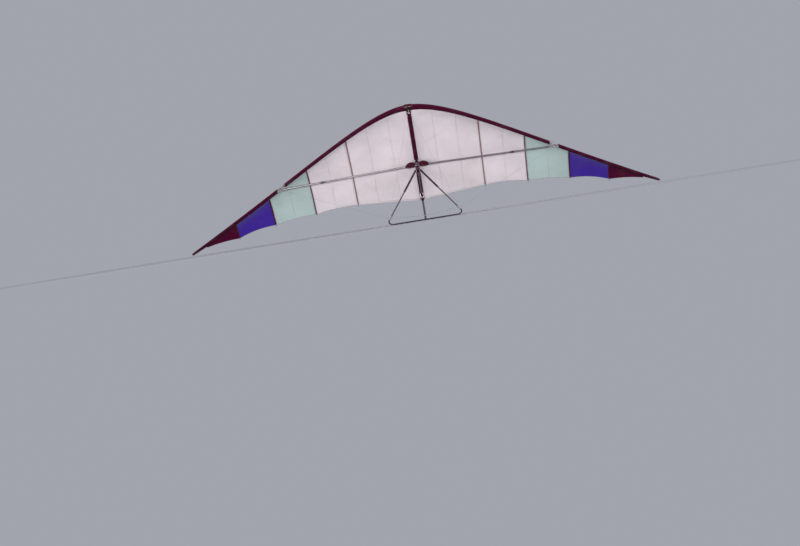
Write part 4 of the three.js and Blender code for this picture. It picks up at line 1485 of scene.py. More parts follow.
@dataclass
class Keel:
    """The keel tube, its tail cap and the pocket that hangs from the sail's middle seam."""

    radius: float = 0.022
    start: float = 0.06
    end: float = 3.58
    sleeve: float = 0.0256
    pucker: float = 0.0009
    ridge: float = 0.0018
    cloth: float = 0.0012
    gather: float = 0.03
    parts: tuple[tuple[str, float, float], ...] = (
        ("front", 0.15, 1.704),
        ("middle", 1.892, 2.022),
        ("rear", 2.078, 2.96),
    )

    def build(self) -> None:
        """Builds every piece of the keel."""
        ys = np.linspace(self.start, self.end, 40)
        rod = tube("keel_rod", [WING.at((0, y, 0)) for y in ys], self.radius)
        WARDROBE.dress(rod, Finish.DULL_TUBE, nodes=["keel_tube"])
        base, ahead = WING.at((0, self.end + 0.0003, 0)), WING.at((0, self.end + 1, 0))
        profile = [(0, 0.006), (0, 0.0218), (0.001, 0.0222), (0.012, 0.0222), (0.0155, 0.0216)]
        profile += [(0.0175, 0.02), (0.0185, 0.0165), (0.0185, 0.008), (0.0165, 0.006), (0.0165, 0.0005)]
        plug = turned("keel_tail_plug", base, ahead, profile, 40)
        WARDROBE.dress(plug, Finish.RUBBER, nodes=["keel_tail_cap"])
        for part, start, stop in self.parts:
            self.pocket(part, start, stop)

    def pocket(self, part: str, start: float, stop: float) -> None:
        """One length of the keel pocket, puckered along its seam."""
        rings = []
        for y in np.linspace(start, stop, max(24, int((stop - start) / 0.025))):
            gather = math.exp(-min(y - start, stop - y) / self.gather)
            ring = []
            for angle in np.radians(np.arange(0, 360, 10)):
                lift = max(0.0, math.sin(angle)) ** 6 * self.ridge
                crease = noise.noise(Vector((angle * 2, y * 14, 1.0)))
                pucker = self.pucker * (gather * math.cos(7 * angle) + crease)
                r = self.sleeve + lift + pucker * (math.sin(angle) < 0.7)
                ring.append(WING.at((r * math.cos(angle), y, r * math.sin(angle))))
            rings.append(ring)
        cloth = ring_mesh(f"keel_pocket_{part}_cloth", rings, closed_ends=False)
        thicken(cloth, self.cloth, -1.0)
        WARDROBE.dress(cloth, Finish.POCKET_CLOTH, nodes=[f"keel_pocket_{part}"])
        declare_cloth(cloth, (2 * math.pi * self.sleeve * 1.03, (stop - start) * 1.02))


@dataclass
class Nose:
    """The nose plates that hold the leading edge tubes and the keel together."""

    thickness: float = 0.005
    lift: float = 0.0228
    tube: float = 0.0232
    lap: float = 0.006
    sag: float = 0.002
    holes: tuple[tuple[float, float], ...] = (
        (-0.052, 0.006),
        (0.052, 0.006),
        (-0.026, 0.0),
        (0.026, 0.0),
        (0.0, 0.122),
    )

    def build(self) -> None:
        """Builds the plates, their bolts and the cloth beside them."""
        for word, sign in (("top", 1), ("bottom", -1)):
            plate = softened(f"nose_plate_{word}", f"nose_plate_{word}_pressed", 0.0009)
            WARDROBE.dress(plate, Finish.DARK_METAL, nodes=[f"nose_plate_{word}"])
            z = sign * (self.lift + self.thickness)
            spots = [((x, y, z), (0, 0, sign)) for x, y in self.holes]
            bolts(f"nose_bolts_{word}", spots, 0.0062, 0.0085)
        for side in Side:
            self.gusset(side)

    def gusset(self, side: Side) -> None:
        """The cloth that closes the gap between the tube, the pocket's end and the sail's front edge."""
        points = []
        for x in np.linspace(0.0235, 0.083, 8):
            (y, z, _), (hem_y, hem_z) = WING.spar(x), WING.hem(x)
            near, far = y + self.tube, hem_y + self.lap
            for share in np.linspace(0.0, 1.0, 6):
                sag = self.sag * math.sin(math.pi * share)
                place = (side.value * x, near + share * (far - near), z + share * (hem_z - z) - sag)
                points.append(WING.at(place))
        faces = [(i * 6 + j, i * 6 + j + 1, i * 6 + j + 7, i * 6 + j + 6) for i in range(7) for j in range(5)]
        uv = [(0.0085 * (k // 6), 0.016 * (k % 6)) for face in faces for k in face]
        cloth = make_mesh(f"nose_gusset_{side.tag}", points, faces, uv)
        thicken(cloth, 0.0012)
        WARDROBE.dress(cloth, Finish.POCKET_CLOTH)


@dataclass
class Crossbar:
    """One half of the crossbar, its joint at the leading edge and its padded boot."""

    side: Side
    y: float = 1.75
    z: float = -0.0618
    radius: float = 0.019
    start: float = 0.008
    sleeve: tuple[float, float] = (1.96, 2.08)
    joint: float = 2.92
    beyond: float = 0.015
    aft: float = 0.02
    under: float = 0.028
    joint_length: float = 0.11
    collar: float = 0.03
    bore: float = 0.0223
    plate: float = 0.0045
    pins: float = 0.036
    below: float = 0.072
    boot_start: float = 0.045
    boot_length: float = 0.2
    boot_radius: float = 0.068
    boot_offset: tuple[float, float] = (-0.018, 0.01)

    @property
    def end(self) -> Point:
        """Where the crossbar ends under the leading edge tube."""
        y, z, _ = WING.spar(self.joint)
        return self.joint + self.beyond, y + self.aft, z - self.radius - self.under

    def along(self, x: float) -> Vector:
        """The crossbar's axis at a distance from the keel."""
        end = self.end
        t = (x - self.start) / (end[0] - self.start)
        return WING.at((self.side.value * x, self.y + t * (end[1] - self.y), self.z + t * (end[2] - self.z)))

    def build(self) -> None:
        """Builds the tube and what is fixed to it."""
        tag = self.side.tag
        xs = np.linspace(self.start, self.end[0], 40)
        rod = tube(f"crossbar_rod_{tag}", [self.along(x) for x in xs], self.radius)
        WARDROBE.dress(rod, Finish.DULL_TUBE, nodes=[f"crossbar_{tag}"])
        low, high = (self.along(x) for x in self.sleeve)
        length = (high - low).length
        ferrule = turned(f"crossbar_ferrule_{tag}", low, high, rounded(length, 0.022, 0.002, 0.0193), 40)
        WARDROBE.dress(ferrule, Finish.RUBBER)
        rings, profile = [], [(d - 0.004, r) for d, r in rounded(0.008, 0.0229, 0.0008, 0.0218)]
        for share in (0.14, 0.86):
            clip = turned("clip", low + (high - low) * share, high, profile, 40)
            rings.append(WARDROBE.dress(clip, Finish.PLATE))
        joined(f"crossbar_clips_{tag}", rings)
        self.build_joint()
        Boot(self).build()

    def build_joint(self) -> None:
        """The clamp on the leading edge tube and the plates that hold the crossbar's end."""
        tag, sign = self.side.tag, self.side.value
        y, z, slope = WING.spar(self.joint)
        along = unit((sign, slope, 0.0))
        across = np.array((-along[1], along[0], 0.0))
        centre = np.array((sign * self.joint, y, z))
        half = self.joint_length / 2

        def spot(a: float, b: float, height: float) -> Vector:
            """A place of the joint, along and across the tube, and above its axis."""
            return WING.at(centre + a * along + b * across + (0, 0, height))

        pieces, collar = [], self.collar
        for offset in (-half, half - collar):
            profile = rounded(collar, 0.0268, 0.0012, self.bore)
            pieces.append(turned("band", spot(offset, 0, 0), spot(1, 0, 0), profile, 40))
        profile = rounded(self.joint_length - 2 * collar, 0.0255, 0.001, self.bore)
        pieces.append(turned("shell", spot(collar - half, 0, 0), spot(1, 0, 0), profile, 40))
        for low, thick in ((-0.0285, 0.004), (-self.below, self.plate)):
            outline = []
            for angle in np.linspace(0, 2 * math.pi, 28, endpoint=False):
                bulge = 1 + 0.18 * math.cos(2 * angle) ** 2
                outline.append(spot(0.048 * bulge * math.cos(angle), 0.031 * bulge * math.sin(angle), low))
            step = spot(0, 0, thick) - spot(0, 0, 0)
            pieces.append(slab("plate", outline, step))
        for offset in (-self.pins, self.pins):
            foot, above = spot(offset, 0, self.plate - self.below), spot(offset, 0, 1)
            pieces.append(turned("spacer", foot, above, rounded(0.039, 0.0075, 0.0006), 20))
        for piece in pieces:
            WARDROBE.dress(piece, Finish.BRACKET)
        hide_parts(f"junction_bracket_{tag}")
        joined(f"junction_clamp_{tag}", pieces)
        spots = []
        for offset in (-self.pins, 0.0, self.pins):
            spots.append((tuple(centre + offset * along + (0, 0, -self.below)), (0, 0, -1)))
        for offset in (-0.04, 0.04):
            spots.append((tuple(centre + offset * along + (0, 0, 0.0265)), (0, 0, 1)))
        bolts(f"junction_bolts_{tag}", spots, 0.0058, 0.007)


@dataclass
class Boot:
    """The padded cover on the inner end of the crossbar, stuffed by a cloth simulation."""

    bar: Crossbar
    voxel: float = 0.005
    slack: float = 0.004
    pressure: float = 4.0
    fullness: float = 0.05
    cap: float = 0.008
    frames: int = 20
    fullest: float = 0.8
    mouth: float = 0.0205
    tip: float = 0.004
    ends: tuple[float, float] = (0.06, 0.94)
    tucks: tuple[float, float] = (0.3, 0.66)
    tuck: float = 0.014
    laced: float = 0.985
    lacing: float = 0.14
    strap: float = 0.014

    def radius(self, t: float) -> float:
        """The cover's radius at a place along it, from 0 to 1."""
        inner = self.bar.radius + 0.0023
        return inner + (self.bar.boot_radius - inner) * self.swell(t)

    def swell(self, t: float) -> float:
        """How full the cover is at a place along it, from 0 to 1."""
        return max(0.0, math.sin(math.pi * min(1.0, max(0.0, t)) ** self.fullest)) ** self.fullest

    def spot(self, t: float, radius: float, angle: float) -> Vector:
        """A place round the cover's own middle, at an angle from straight up and towards the tail."""
        ahead, rise = (self.swell(t) * step for step in self.bar.boot_offset)
        middle = self.bar.along(self.bar.boot_start + t * self.bar.boot_length)
        y, z = ahead + radius * math.sin(angle), rise + radius * math.cos(angle)
        return middle + WING.at((0, y, z)) - Vector(WING.origin)

    def shell(self) -> Piece:
        """The cover's slack shape, before it is stuffed."""
        spins = np.linspace(0, 2 * math.pi, 40, endpoint=False)
        shape = [(0.0, self.tip)]
        for t in np.linspace(0, 1, 30):
            shape.append((t, max(self.mouth, self.radius(t) - self.slack * self.swell(t))))
        rings = [[self.spot(t, r, a) for a in spins] for t, r in [*shape, (1.0, self.tip)]]
        return ring_mesh(f"crossbar_boot_{self.bar.side.tag}_padding", rings)

    def stuff(self, piece: Piece) -> None:
        """Blows the cover up between its held ends, its lacing and two tucks, with its movement capped."""
        remesh = piece.modifiers.new("voxels", "REMESH")
        remesh.mode, remesh.voxel_size = "VOXEL", self.voxel
        settle(piece)
        rest = np.array([v.co for v in piece.data.vertices])
        start, end = (np.array(self.bar.along(self.bar.boot_start + d)) for d in (0.0, self.bar.boot_length))
        axis = unit(end - start)
        share = (rest - start) @ axis / np.linalg.norm(end - start)
        spoke = rest - np.array([self.spot(t, 0.0, 0.0) for t in share])
        spoke -= np.outer(spoke @ axis, axis)
        down = spoke @ np.array(WING.turn((0, 0, -1))) / np.linalg.norm(spoke, axis=1).clip(1e-6)
        held = (share < self.ends[0]) | (share > self.ends[1]) | (down > self.laced)
        for place in self.tucks:
            held |= abs(share - place) < self.tuck
        group = piece.vertex_groups.new(name="held")
        group.add([int(i) for i in np.where(held)[0]], 1.0, "REPLACE")
        cloth = piece.modifiers.new("stuffing", "CLOTH")
        cloth.settings.quality = 6
        cloth.settings.vertex_group_mass = "held"
        cloth.settings.mass, cloth.settings.shrink_min = 0.05, -self.fullness
        cloth.settings.use_pressure = True
        cloth.settings.uniform_pressure_force = self.pressure
        cloth.settings.effector_weights.gravity = 0.0
        cloth.point_cache.frame_start, cloth.point_cache.frame_end = 1, self.frames
        for number in range(1, self.frames + 1):
            bpy.context.scene.frame_set(number)
        settle(piece)
        bpy.context.scene.frame_set(1)
        moved = np.array([v.co for v in piece.data.vertices]) - rest
        far = np.linalg.norm(moved, axis=1)
        moved *= (np.minimum(far, self.cap) / far.clip(1e-9))[:, None]
        piece.data.vertices.foreach_set("co", (rest + moved).ravel())
        log.info("%s: stuffed by up to %.1f mm", piece.name, 1000 * min(far.max(), self.cap))

    def line(self, angle: float, lift: float, start: float = 0.04, end: float = 0.96) -> list[Vector]:
        """A line along the cover, at an angle round it from straight below."""
        return [self.spot(t, self.radius(t) + lift, math.pi - angle) for t in np.linspace(start, end, 40)]

    def build(self) -> None:
        """Builds the cover, its piping, its straps and its lacing."""
        tag = self.bar.side.tag
        cover = self.shell()
        self.stuff(cover)
        cover.data.shade_smooth()
        finer = cover.modifiers.new("smooth", "SUBSURF")
        finer.levels = finer.render_levels = 1
        WARDROBE.dress(cover, Finish.RED_CLOTH, nodes=[f"crossbar_boot_{tag}"])
        cord = tube(f"boot_piping_{tag}", self.line(0.0, -0.004), 0.0022, 12)
        WARDROBE.dress(cord, Finish.DARK_THREAD)
        straps = []
        for t in (0.02, 0.98):
            x = self.bar.boot_start + t * self.bar.boot_length
            foot, head = self.bar.along(x - self.strap / 2), self.bar.along(x + 1)
            profile = rounded(self.strap, self.radius(t) + 0.0012, 0.0012, 0.0194)
            straps.append(WARDROBE.dress(turned("strap", foot, head, profile, 40), Finish.WEBBING))
        joined(f"boot_straps_{tag}", straps)
        lacing = []
        for side in (-self.lacing, self.lacing):
            points, ts = self.line(side, -0.0018, 0.1, 0.9), np.linspace(0.1, 0.9, 40)
            up = [(p - self.spot(t, 0.0, 0.0)).normalized() for p, t in zip(points, ts)]
            lacing.append(Row(points, up))
        sizes = {"Pitch": 0.01, "Length": 0.008, "Width": 0.0018, "Slant": 0.9}
        STITCHING.grow(f"boot_lacing_{tag}", lacing, Finish.PALE_THREAD, **sizes)


@dataclass
class ControlFrame:
    """The triangular frame below the wing: base bar, downtubes, their sleeves and corner fittings."""

    apex: Point = (0.024, 1.85, -0.058)
    foot_y: float = 1.7
    foot_z: float = -1.6
    straight: float = 0.66
    bend: float = 0.09
    radius: float = BAR_RADIUS
    corner_radius: float = 0.0185
    corner: float = 0.11
    lip: float = 0.0172
    tape: float = 0.018
    pin: float = 0.026
    lug: tuple[float, float, float] = (0.008, 0.021, 0.003)
    sleeve: tuple[float, float, float] = (0.06, 0.72, 0.021)
    gap: float = 0.0003

    def __post_init__(self) -> None:
        """Works out the frame's plane, and where the bend runs out into the downtube."""
        self.drop = math.hypot(self.apex[1] - self.foot_y, self.apex[2] - self.foot_z)
        self.rake = math.atan2(self.apex[1] - self.foot_y, self.apex[2] - self.foot_z)
        self.lean = 0.4
        for _ in range(12):
            x = self.straight + self.bend * math.cos(self.lean)
            self.lean = math.atan2(x - self.apex[0], self.drop - self.bend * (1 + math.sin(self.lean)))
        self.top = (self.apex[0], self.gap + self.radius * math.sin(self.lean) + 0.006)
        self.foot = self.arc(self.lean)
        self.length = math.dist(self.top, self.foot)

    def arc(self, angle: float) -> tuple[float, float]:
        """A place on the base bar's bend, away from the middle and below the apex."""
        return self.straight + self.bend * math.cos(angle), self.drop - self.bend * (1 + math.sin(angle))

    def point(self, side: Side, x: float, h: float, ahead: float = 0.0) -> Vector:
        """A place in the frame's plane, h below the apex, or one ahead of that plane."""
        c, s = math.cos(self.rake), math.sin(self.rake)
        return WING.at((side.value * x, self.apex[1] - h * s - ahead * c, self.apex[2] - h * c + ahead * s))

    def along(self, side: Side, distance: float) -> Vector:
        """A place on a downtube's axis, measured from its top."""
        t = distance / self.length
        return self.point(side, *(a + t * (b - a) for a, b in zip(self.top, self.foot)))

    def eye(self, side: Side) -> Vector:
        """The eye of the corner fitting that the wires end in."""
        outward = self.point(side, math.cos(self.lean), -math.sin(self.lean)) - self.point(side, 0, 0)
        return self.along(side, self.length - self.corner / 2) + outward * (self.corner_radius + 0.004)

    def build(self) -> None:
        """Builds every piece of the frame."""
        ends = []
        for side in (Side.LEFT, Side.RIGHT):
            bend = [self.point(side, *self.arc(angle)) for angle in np.linspace(-math.pi / 2, self.lean, 22)]
            ends.append([*bend, self.along(side, self.length - self.corner / 4)])
        xs = np.linspace(-self.straight, self.straight, 26)[1:-1]
        middle = [self.point(Side.RIGHT, x, self.drop) for x in xs]
        bar = tube("base_bar_coated", [*reversed(ends[0]), *middle, *ends[1]], self.radius)
        WARDROBE.dress(bar, Finish.BLACK_TUBE, nodes=["base_bar"])
        for side in Side:
            self.build_side(side)

    def build_side(self, side: Side) -> None:
        """Builds one downtube with its sleeve and fittings."""
        tag = side.tag
        stop = self.length - self.corner / 4 - self.gap
        path = [self.along(side, d) for d in np.linspace(0, stop, 40)]
        rod = tube(f"downtube_{tag}_rod", path, self.radius)
        WARDROBE.dress(rod, Finish.DULL_TUBE, nodes=[f"downtube_{tag}"])
        start, end, radius = self.sleeve
        profile = rounded(end - start, radius, 0.004, self.radius + self.gap)
        foam = turned(f"downtube_{tag}_foam", self.along(side, start), self.along(side, end), profile, 40)
        WARDROBE.dress(foam, Finish.FOAM, nodes=[f"downtube_sleeve_{tag}"])
        tapes, profile = [], rounded(self.tape, radius + 0.0006, 0.0004, radius - 0.001)
        for d in (start + 0.012, end - 0.03):
            tape = turned("tape", self.along(side, d), self.along(side, 1.0), profile, 40)
            tapes.append(WARDROBE.dress(tape, Finish.RUBBER))
        joined(f"downtube_tapes_{tag}", tapes)
        foot, reach = self.length - self.corner, self.corner - 0.004
        bore, lip, full = self.radius + 0.0004, self.lip, self.corner_radius
        profile = [(0, bore), (0, 0.0163), (0.002, lip), (0.012, 0.0176), (0.016, full)]
        profile += [(reach - 0.012, full), (reach - 0.009, 0.0176), (reach - 0.002, lip)]
        profile += [(reach, 0.0163), (reach, bore), (0, bore)]
        ends = self.along(side, foot), self.along(side, self.length)
        shell = turned(f"corner_{tag}_shell", *ends, profile, 40)
        lug = self.ear(side)
        for piece in (shell, lug):
            WARDROBE.dress(piece, Finish.BRACKET)
        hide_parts(f"corner_fitting_{tag}")
        joined(f"corner_{tag}_casting", [shell, lug])
        self.build_bolts(side)

    def ear(self, side: Side) -> Piece:
        """The ear on the corner fitting that the wires are pinned to."""
        centre = self.eye(side)
        down = (self.along(side, 1.0) - self.along(side, 0.0)).normalized()
        out = (centre - self.along(side, self.length - self.corner / 2)).normalized()
        depth, half, thickness = self.lug
        normal = down.cross(out) * thickness
        steps = [(0.0075 * math.cos(a), 0.0085 * math.sin(a)) for a in np.linspace(1.3, -1.3, 13)]
        outline = [centre + out * u + down * v for u, v in [(-depth, half), *steps, (-depth, -half)]]
        return slab("lug", [p - normal for p in outline], normal * 2)

    def build_bolts(self, side: Side) -> None:
        """The bolts through the corner fitting."""
        spots = []
        for distance in (self.length - self.pin, self.length - self.corner + self.pin):
            for ahead in (-1, 1):
                t = distance / self.length
                x, h = (a + t * (b - a) for a, b in zip(self.top, self.foot))
                place = self.point(side, x, h, ahead * (self.corner_radius - 0.0008))
                spots.append((place, (place - self.point(side, x, h)).normalized()))
        fastened(f"corner_bolts_{side.tag}", spots, 0.0048, 0.0055)


@dataclass
class Kingpost:
    """The mast above the wing, its foot and its head, and the brackets on the keel."""

    y: float = 1.75
    radius: float = 0.0127
    foot: float = 0.0223
    top: float = 1.04
    brackets: tuple[str, ...] = ("centre_bracket", "apex_bracket", "hang_bracket")
    steel: tuple[str, ...] = ("rear_wire_tang", "kingpost_cap")
    holes: tuple[tuple[float, tuple[float, ...], float], ...] = (
        (0.0341, (1.728, 1.772), -0.012),
        (0.0401, (1.828, 1.872), -0.012),
        (0.0401, (1.85,), -0.044),
        (0.0301, (2.05,), -0.012),
    )

    def build(self) -> None:
        """Builds the post and the brackets, with their bolts."""
        zs = np.linspace(self.foot, self.top - 0.01, 20)
        rod = tube("kingpost_rod", [WING.at((0, self.y, z)) for z in zs], self.radius, 36)
        WARDROBE.dress(rod, Finish.BRIGHT_TUBE, nodes=["kingpost"])
        foot, head = WING.at((0, self.y, self.foot)), WING.at((0, self.y, self.top))
        shoe = [(0.0, 0.0131), (0.0, 0.0235), (0.003, 0.0245), (0.006, 0.0235), (0.012, 0.0178)]
        shoe += [(0.044, 0.0162), (0.046, 0.0131), shoe[0]]
        WARDROBE.dress(turned("kingpost_shoe", foot, head, shoe, 36), Finish.RUBBER)
        collar = [(self.top - 0.07 + d, r) for d, r in rounded(0.022, 0.0152, 0.001, 0.0129)]
        WARDROBE.dress(turned("kingpost_collar", WING.at((0, self.y, 0)), head, collar, 36), Finish.PLATE)
        for node in (*self.brackets, *self.steel):
            finish = Finish.PLATE if node in self.steel else Finish.MAUVE_METAL
            WARDROBE.dress(softened(node, f"{node}_dressed", 0.0011), finish, nodes=[node])
        spots = []
        for x, ys, z in self.holes:
            spots += [((s * x, y, z), (s, 0, 0)) for s in (-1, 1) for y in ys]
        bolts("bracket_bolts", spots, 0.0056, 0.007)


@dataclass(frozen=True)
class Stay:
    """One wire, from one eye to another."""

    name: str
    start: Vector
    end: Vector


@dataclass
class Rigging:
    """The stays with their thimbles, swaged sleeves and shackles."""

    bars: ControlFrame
    radius: float = 0.0013
    ring: float = 0.0062
    tail: float = 0.026
    head: Point = (0.0, 1.75, 1.066)
    nose_high: Point = (0.0, 0.06, 0.0318)
    nose_low: Point = (0.0, 0.1, -0.0318)
    rear_high: Point = (0.0, 3.45, 0.034)
    rear_low: Point = (0.0, 3.45, -0.034)
    joint: float = 2.92
    joint_high: float = 0.036
    joint_low: float = 0.076
    bow: float = 0.0085
    gauge: tuple[float, float] = (0.0019, 0.0018)

    def stays(self) -> list[Stay]:
        """Every stay between the eyes of the wing."""
        head = WING.at(self.head)
        found = [
            Stay("upper_front_wire", head, WING.at(self.nose_high)),
            Stay("upper_rear_wire", head, WING.at(self.rear_high)),
        ]
        y, z, _ = WING.spar(self.joint)
        for side in Side:
            x, tag, corner = side.value * self.joint, side.tag, self.bars.eye(side)
            found += [
                Stay(f"upper_side_wire_{tag}", head, WING.at((x, y, z + self.joint_high))),
                Stay(f"lower_side_wire_{tag}", corner, WING.at((x, y, z - self.joint_low))),
                Stay(f"lower_front_wire_{tag}", corner, WING.at(self.nose_low)),
                Stay(f"lower_rear_wire_{tag}", corner, WING.at(self.rear_low)),
            ]
        return found

    def eye_end(self, eye: Vector, along: Vector) -> list[Piece]:
        """The loop and sleeves at one end of a stay, and the shackle that holds it."""
        across = along.cross(Vector((0, 0, 1)) if abs(along.z) < 0.9 else Vector((1, 0, 0))).normalized()
        loop = [eye + along * self.tail]
        for angle in np.linspace(0.5, 2 * math.pi - 0.5, 21):
            ahead, aside = self.ring * math.cos(angle) - 0.003, self.ring * math.sin(angle)
            loop.append(eye + along * ahead + across * aside)
        pieces = [closed_tube("thimble", loop, self.gauge[0], 10)]
        for start in (self.tail - 0.001, self.tail + 0.022):
            foot = eye + along * start
            pieces.append(turned("swage", foot, foot + along, rounded(0.016, 0.0034, 0.0009), 16))
        normal = across.cross(along).normalized()
        bar = []
        for angle in np.linspace(0, 2 * math.pi, 18, endpoint=False):
            back, aside = self.bow * math.cos(angle) + 0.001, self.bow * math.sin(angle)
            bar.append(eye + normal * aside - along * back)
        return [*pieces, closed_tube("shackle", bar, self.gauge[1], 10)]

    def build(self) -> None:
        """Builds each stay and what it ends in."""
        for stay in self.stays():
            along = (stay.end - stay.start).normalized()
            start, end = stay.start + along * self.tail, stay.end - along * self.tail
            path = [start.lerp(end, s) for s in np.linspace(0, 1, 12)]
            wire = tube(f"{stay.name}_strand", path, self.radius, 12)
            WARDROBE.dress(wire, Finish.STRAND, nodes=[stay.name])
            pieces = [*self.eye_end(stay.start, along), *self.eye_end(stay.end, -along)]
            for piece in pieces:
                WARDROBE.dress(piece, Finish.PLATE)
            joined(f"{stay.name}_ends", pieces)


@dataclass
class HangPoint:
    """The webbing loop that hangs from the keel, and the carabiner in it."""

    y: float = 2.05
    pin: float = -0.054
    inner: float = 0.0065
    width: float = 0.025
    strap: float = 0.003
    drop: float = 0.4
    bar: float = 0.005
    ring_half: float = 0.028
    ring_length: float = 0.105
    corner: float = 0.012
    tacks: tuple[float, ...] = (-0.03, -0.036, -0.042, -0.09, -0.096, -0.34, -0.346, -0.352)

    def build(self) -> None:
        """Builds the strap and the carabiner."""
        hub = WING.at((0, self.y, self.pin))
        self.build_strap(hub)
        self.build_ring(hub)

    def build_strap(self, hub: Vector) -> None:
        """The loop of webbing round the pin and the carabiner, with its stitches."""
        loop = []
        for centre, start in ((0.0, 0.0), (-self.drop, math.pi)):
            for angle in np.linspace(start, start + math.pi, 17):
                loop.append((centre, angle))
            if centre == 0.0:
                loop += [(-self.drop * s, math.pi) for s in np.linspace(0.04, 0.96, 24)]
        loop += [(-self.drop * s, 0.0) for s in np.linspace(0.96, 0.04, 24)]
        half, flat = self.width / 2, self.width / 2 - 0.0011
        section = [(-half, 0.4), (-flat, 0.0), (flat, 0.0), (half, 0.4)]
        section += [(half, 0.6), (flat, 1.0), (-flat, 1.0), (-half, 0.6)]
        points, along, run = [], [], 0.0
        for i, (fall, angle) in enumerate(loop):
            middle = self.inner + self.strap / 2
            spot = Vector((0, middle * math.cos(angle), fall + middle * math.sin(angle)))
            run += (spot - last).length if i else 0.0
            last = spot
            along.append(run)
            for x, depth in section:
                r = self.inner + 0.0001 + depth * (self.strap - 0.0002)
                points.append(hub + Vector((x, r * math.cos(angle), fall + r * math.sin(angle))))
        count, rows = len(section), len(loop)
        girth = np.concatenate([[0], np.cumsum([0.0016, self.width, 0.0016, 0.0006] * 2)])
        along.append(run + 0.01)
        faces, uv = [], []
        for i in range(rows):
            for j in range(count):
                k, n = (j + 1) % count, (i + 1) % rows
                faces.append((i * count + j, i * count + k, n * count + k, n * count + j))
                uv += [(girth[j], along[i]), (girth[j + 1], along[i])]
                uv += [(girth[j + 1], along[i + 1]), (girth[j], along[i + 1])]
        strap = make_mesh("hang_strap_webbing", points, faces, uv)
        outwards(strap)
        WARDROBE.dress(strap, Finish.WEBBING, Body.STRAP, ["hang_strap"])
        self.sew(hub)

    def sew(self, hub: Vector) -> None:
        """Bar tacks across the webbing below the pin and above the carabiner."""
        rows = []
        for face in (-1, 1):
            y = face * (self.inner + self.strap + 0.0001)
            for fall in self.tacks:
                points = [hub + Vector((x, y, fall)) for x in np.linspace(-0.0095, 0.0095, 9)]
                rows.append(Row(points, [Vector((0, face, 0))] * 9))
        sizes = {"Pitch": 0.0021, "Length": 0.0042, "Width": 0.001, "Slant": 1.2}
        tacks = STITCHING.grow("hang_strap_tacks", rows, Finish.PALE_THREAD, **sizes)
        WARDROBE.dress(tacks, Finish.PALE_THREAD, Body.STRAP)

    def build_ring(self, hub: Vector) -> None:
        """The steel carabiner with its screw gate."""
        top = -self.drop - self.inner + self.bar + 0.0005
        half, corner, ring = self.ring_half - self.corner, self.corner, []
        low = 2 * corner - self.ring_length
        for turn, (sign, fall) in enumerate(((1, 0.0), (-1, 0.0), (-1, low), (1, low))):
            for angle in np.linspace(0, math.pi / 2, 9) + math.pi / 2 * turn:
                x, z = sign * half + corner * math.cos(angle), top - corner + fall + corner * math.sin(angle)
                ring.append(hub + Vector((x, 0, z)))
        bow = closed_tube("carabiner_bow", ring, self.bar, 20)
        WARDROBE.dress(bow, Finish.PLATE, Body.CLIP, ["carabiner"])
        foot = hub + Vector((self.ring_half, 0, top - self.ring_length * 0.72))
        knurl = [(0.0, self.bar), (0.0, 0.0066), (0.001, 0.0074)]
        for d in np.arange(0.003, 0.031, 0.001):
            knurl.append((d, 0.0076 - 0.0004 * (round(d * 1000) % 2)))
        knurl += [(0.033, 0.0074), (0.034, 0.0066), (0.034, self.bar)]
        gate = turned("carabiner_gate", foot, foot + Vector((0, 0, 1)), knurl, 24)
        WARDROBE.dress(gate, Finish.BRACKET, Body.CLIP)
        pin = hub + Vector((self.ring_half - 0.0078, 0, top - self.ring_length * 0.86))
        profile = [(0, 0.001), (0, 0.0024), (0.0008, 0.003)]
        profile += [(0.0148, 0.003), (0.0156, 0.0024), (0.0156, 0.001)]
        hinge = turned("carabiner_hinge", pin, pin + Vector((1, 0, 0)), profile, 20)
        WARDROBE.dress(hinge, Finish.PLATE, Body.CLIP)


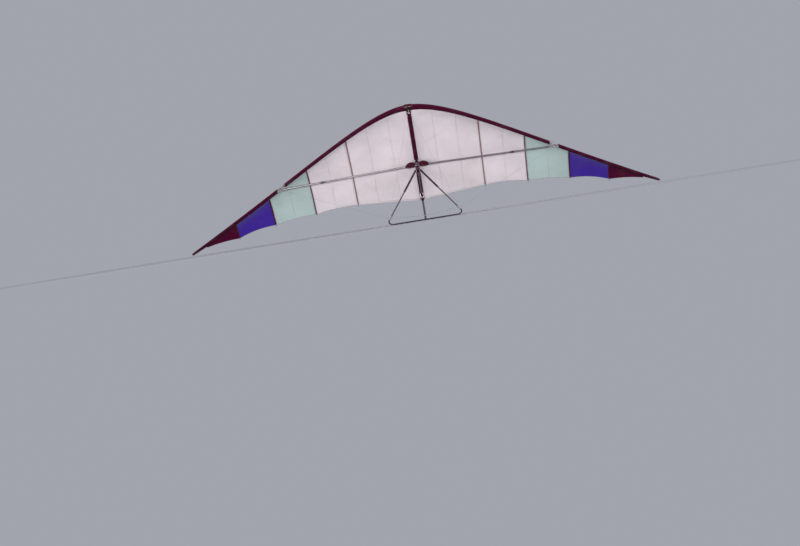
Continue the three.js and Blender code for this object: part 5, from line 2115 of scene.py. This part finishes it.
@dataclass
class Studio:
    """The pale floor, the soft light and the camera."""

    tone: Colour = (0.36, 0.37, 0.42)
    camera_place: Point = (0.0, -36.285, 0.12)
    pitch: float = math.radians(-1.8079)
    yaw: float = math.radians(-1.1367)
    roll: float = -math.atan2(LEAN_RISE, LEAN_RUN)
    focal: float = 1714.3
    floor: float = 40.0
    depth: float = -0.0006
    lamps: tuple[tuple[str, Point, tuple[float, float], float], ...] = (
        ("key", (-7.0, -15.0, 1.0), (10.0, 1.8), 2300.0),
        ("fill", (11.0, -13.0, 1.0), (8.0, 1.8), 1300.0),
        ("top", (2.0, 4.0, 13.0), (10.0, 10.0), 1200.0),
    )

    def build(self) -> None:
        """Builds the stage."""
        self.build_floor()
        self.build_light()
        self.build_camera()

    def build_floor(self) -> None:
        """A round floor that fades into the background far from the glider."""
        ring = np.linspace(0, 2 * math.pi, 128, endpoint=False)
        rim = [(self.floor * math.cos(a), self.floor * math.sin(a), self.depth) for a in ring]
        floor = make_mesh("floor", rim, [range(len(rim))], soft=False)
        paint = Paint("pale floor")
        x, y, _ = paint.split(paint.place())
        far = ((x * x + y * y) ** 0.5).within(5.5, 12.0)
        grain = paint.noise(paint.place(), 1.5, 4.0)
        colour = paint.mix(grain, (0.33, 0.34, 0.37), (0.36, 0.37, 0.4))
        paint.set(base_color=colour, roughness=0.75, specular_ior_level=0.2)
        paint.blend(far, "ShaderNodeBsdfTransparent")
        floor.data.materials.append(paint.material)

    def build_light(self) -> None:
        """An even background and three large soft lights."""
        world = bpy.data.worlds.new("studio")
        bpy.context.scene.world = world
        world.use_nodes = True
        back = world.node_tree.nodes["Background"]
        back.inputs["Color"].default_value, back.inputs["Strength"].default_value = (*self.tone, 1.0), 1.0
        for name, place, size, power in self.lamps:
            lamp = bpy.data.lights.new(name, "AREA")
            lamp.shape, lamp.energy = "RECTANGLE", power
            lamp.size, lamp.size_y = size
            lamp.color = (1.0, 0.975, 0.96)
            holder = put(name, lamp)
            holder.location = place
            holder.rotation_euler = (Vector((0, 0, 1.0)) - Vector(place)).to_track_quat("-Z", "Y").to_euler()
            holder.visible_camera = False

    def build_camera(self) -> None:
        """The camera at floor level, looking up at the wing, rolled as in the photograph."""
        lens = bpy.data.cameras.new("view")
        lens.sensor_width = 36.0
        lens.lens = self.focal / PHOTO_WIDTH * lens.sensor_width
        lens.clip_start, lens.clip_end = 0.5, 400.0
        sine, cosine, level = math.sin(self.yaw), math.cos(self.yaw), math.cos(self.pitch)
        forward = Vector((sine * level, cosine * level, math.sin(self.pitch)))
        right = Vector((cosine, -sine, 0))
        up = right.cross(forward)
        turn = Matrix.Rotation(-self.roll, 3, forward)
        right, up = turn @ right, turn @ up
        axes = Matrix((right, up, -forward)).transposed().to_4x4()
        holder = put("view", lens)
        holder.matrix_world = Matrix.Translation(self.camera_place) @ axes
        bpy.context.scene.camera = holder


def main() -> None:
    """Builds the glider and its stage."""
    logging.basicConfig(level=logging.INFO, format="%(message)s")
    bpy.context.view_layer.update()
    bpy.context.scene.view_settings.view_transform = "Standard"
    for side in Side:
        LeadingEdge(side).build()
        Sail(side).build()
        Crossbar(side).build()
    Keel().build()
    Nose().build()
    Kingpost().build()
    bars = ControlFrame()
    bars.build()
    Rigging(bars).build()
    HangPoint().build()
    Studio().build()


if __name__ == "__main__":
    main()
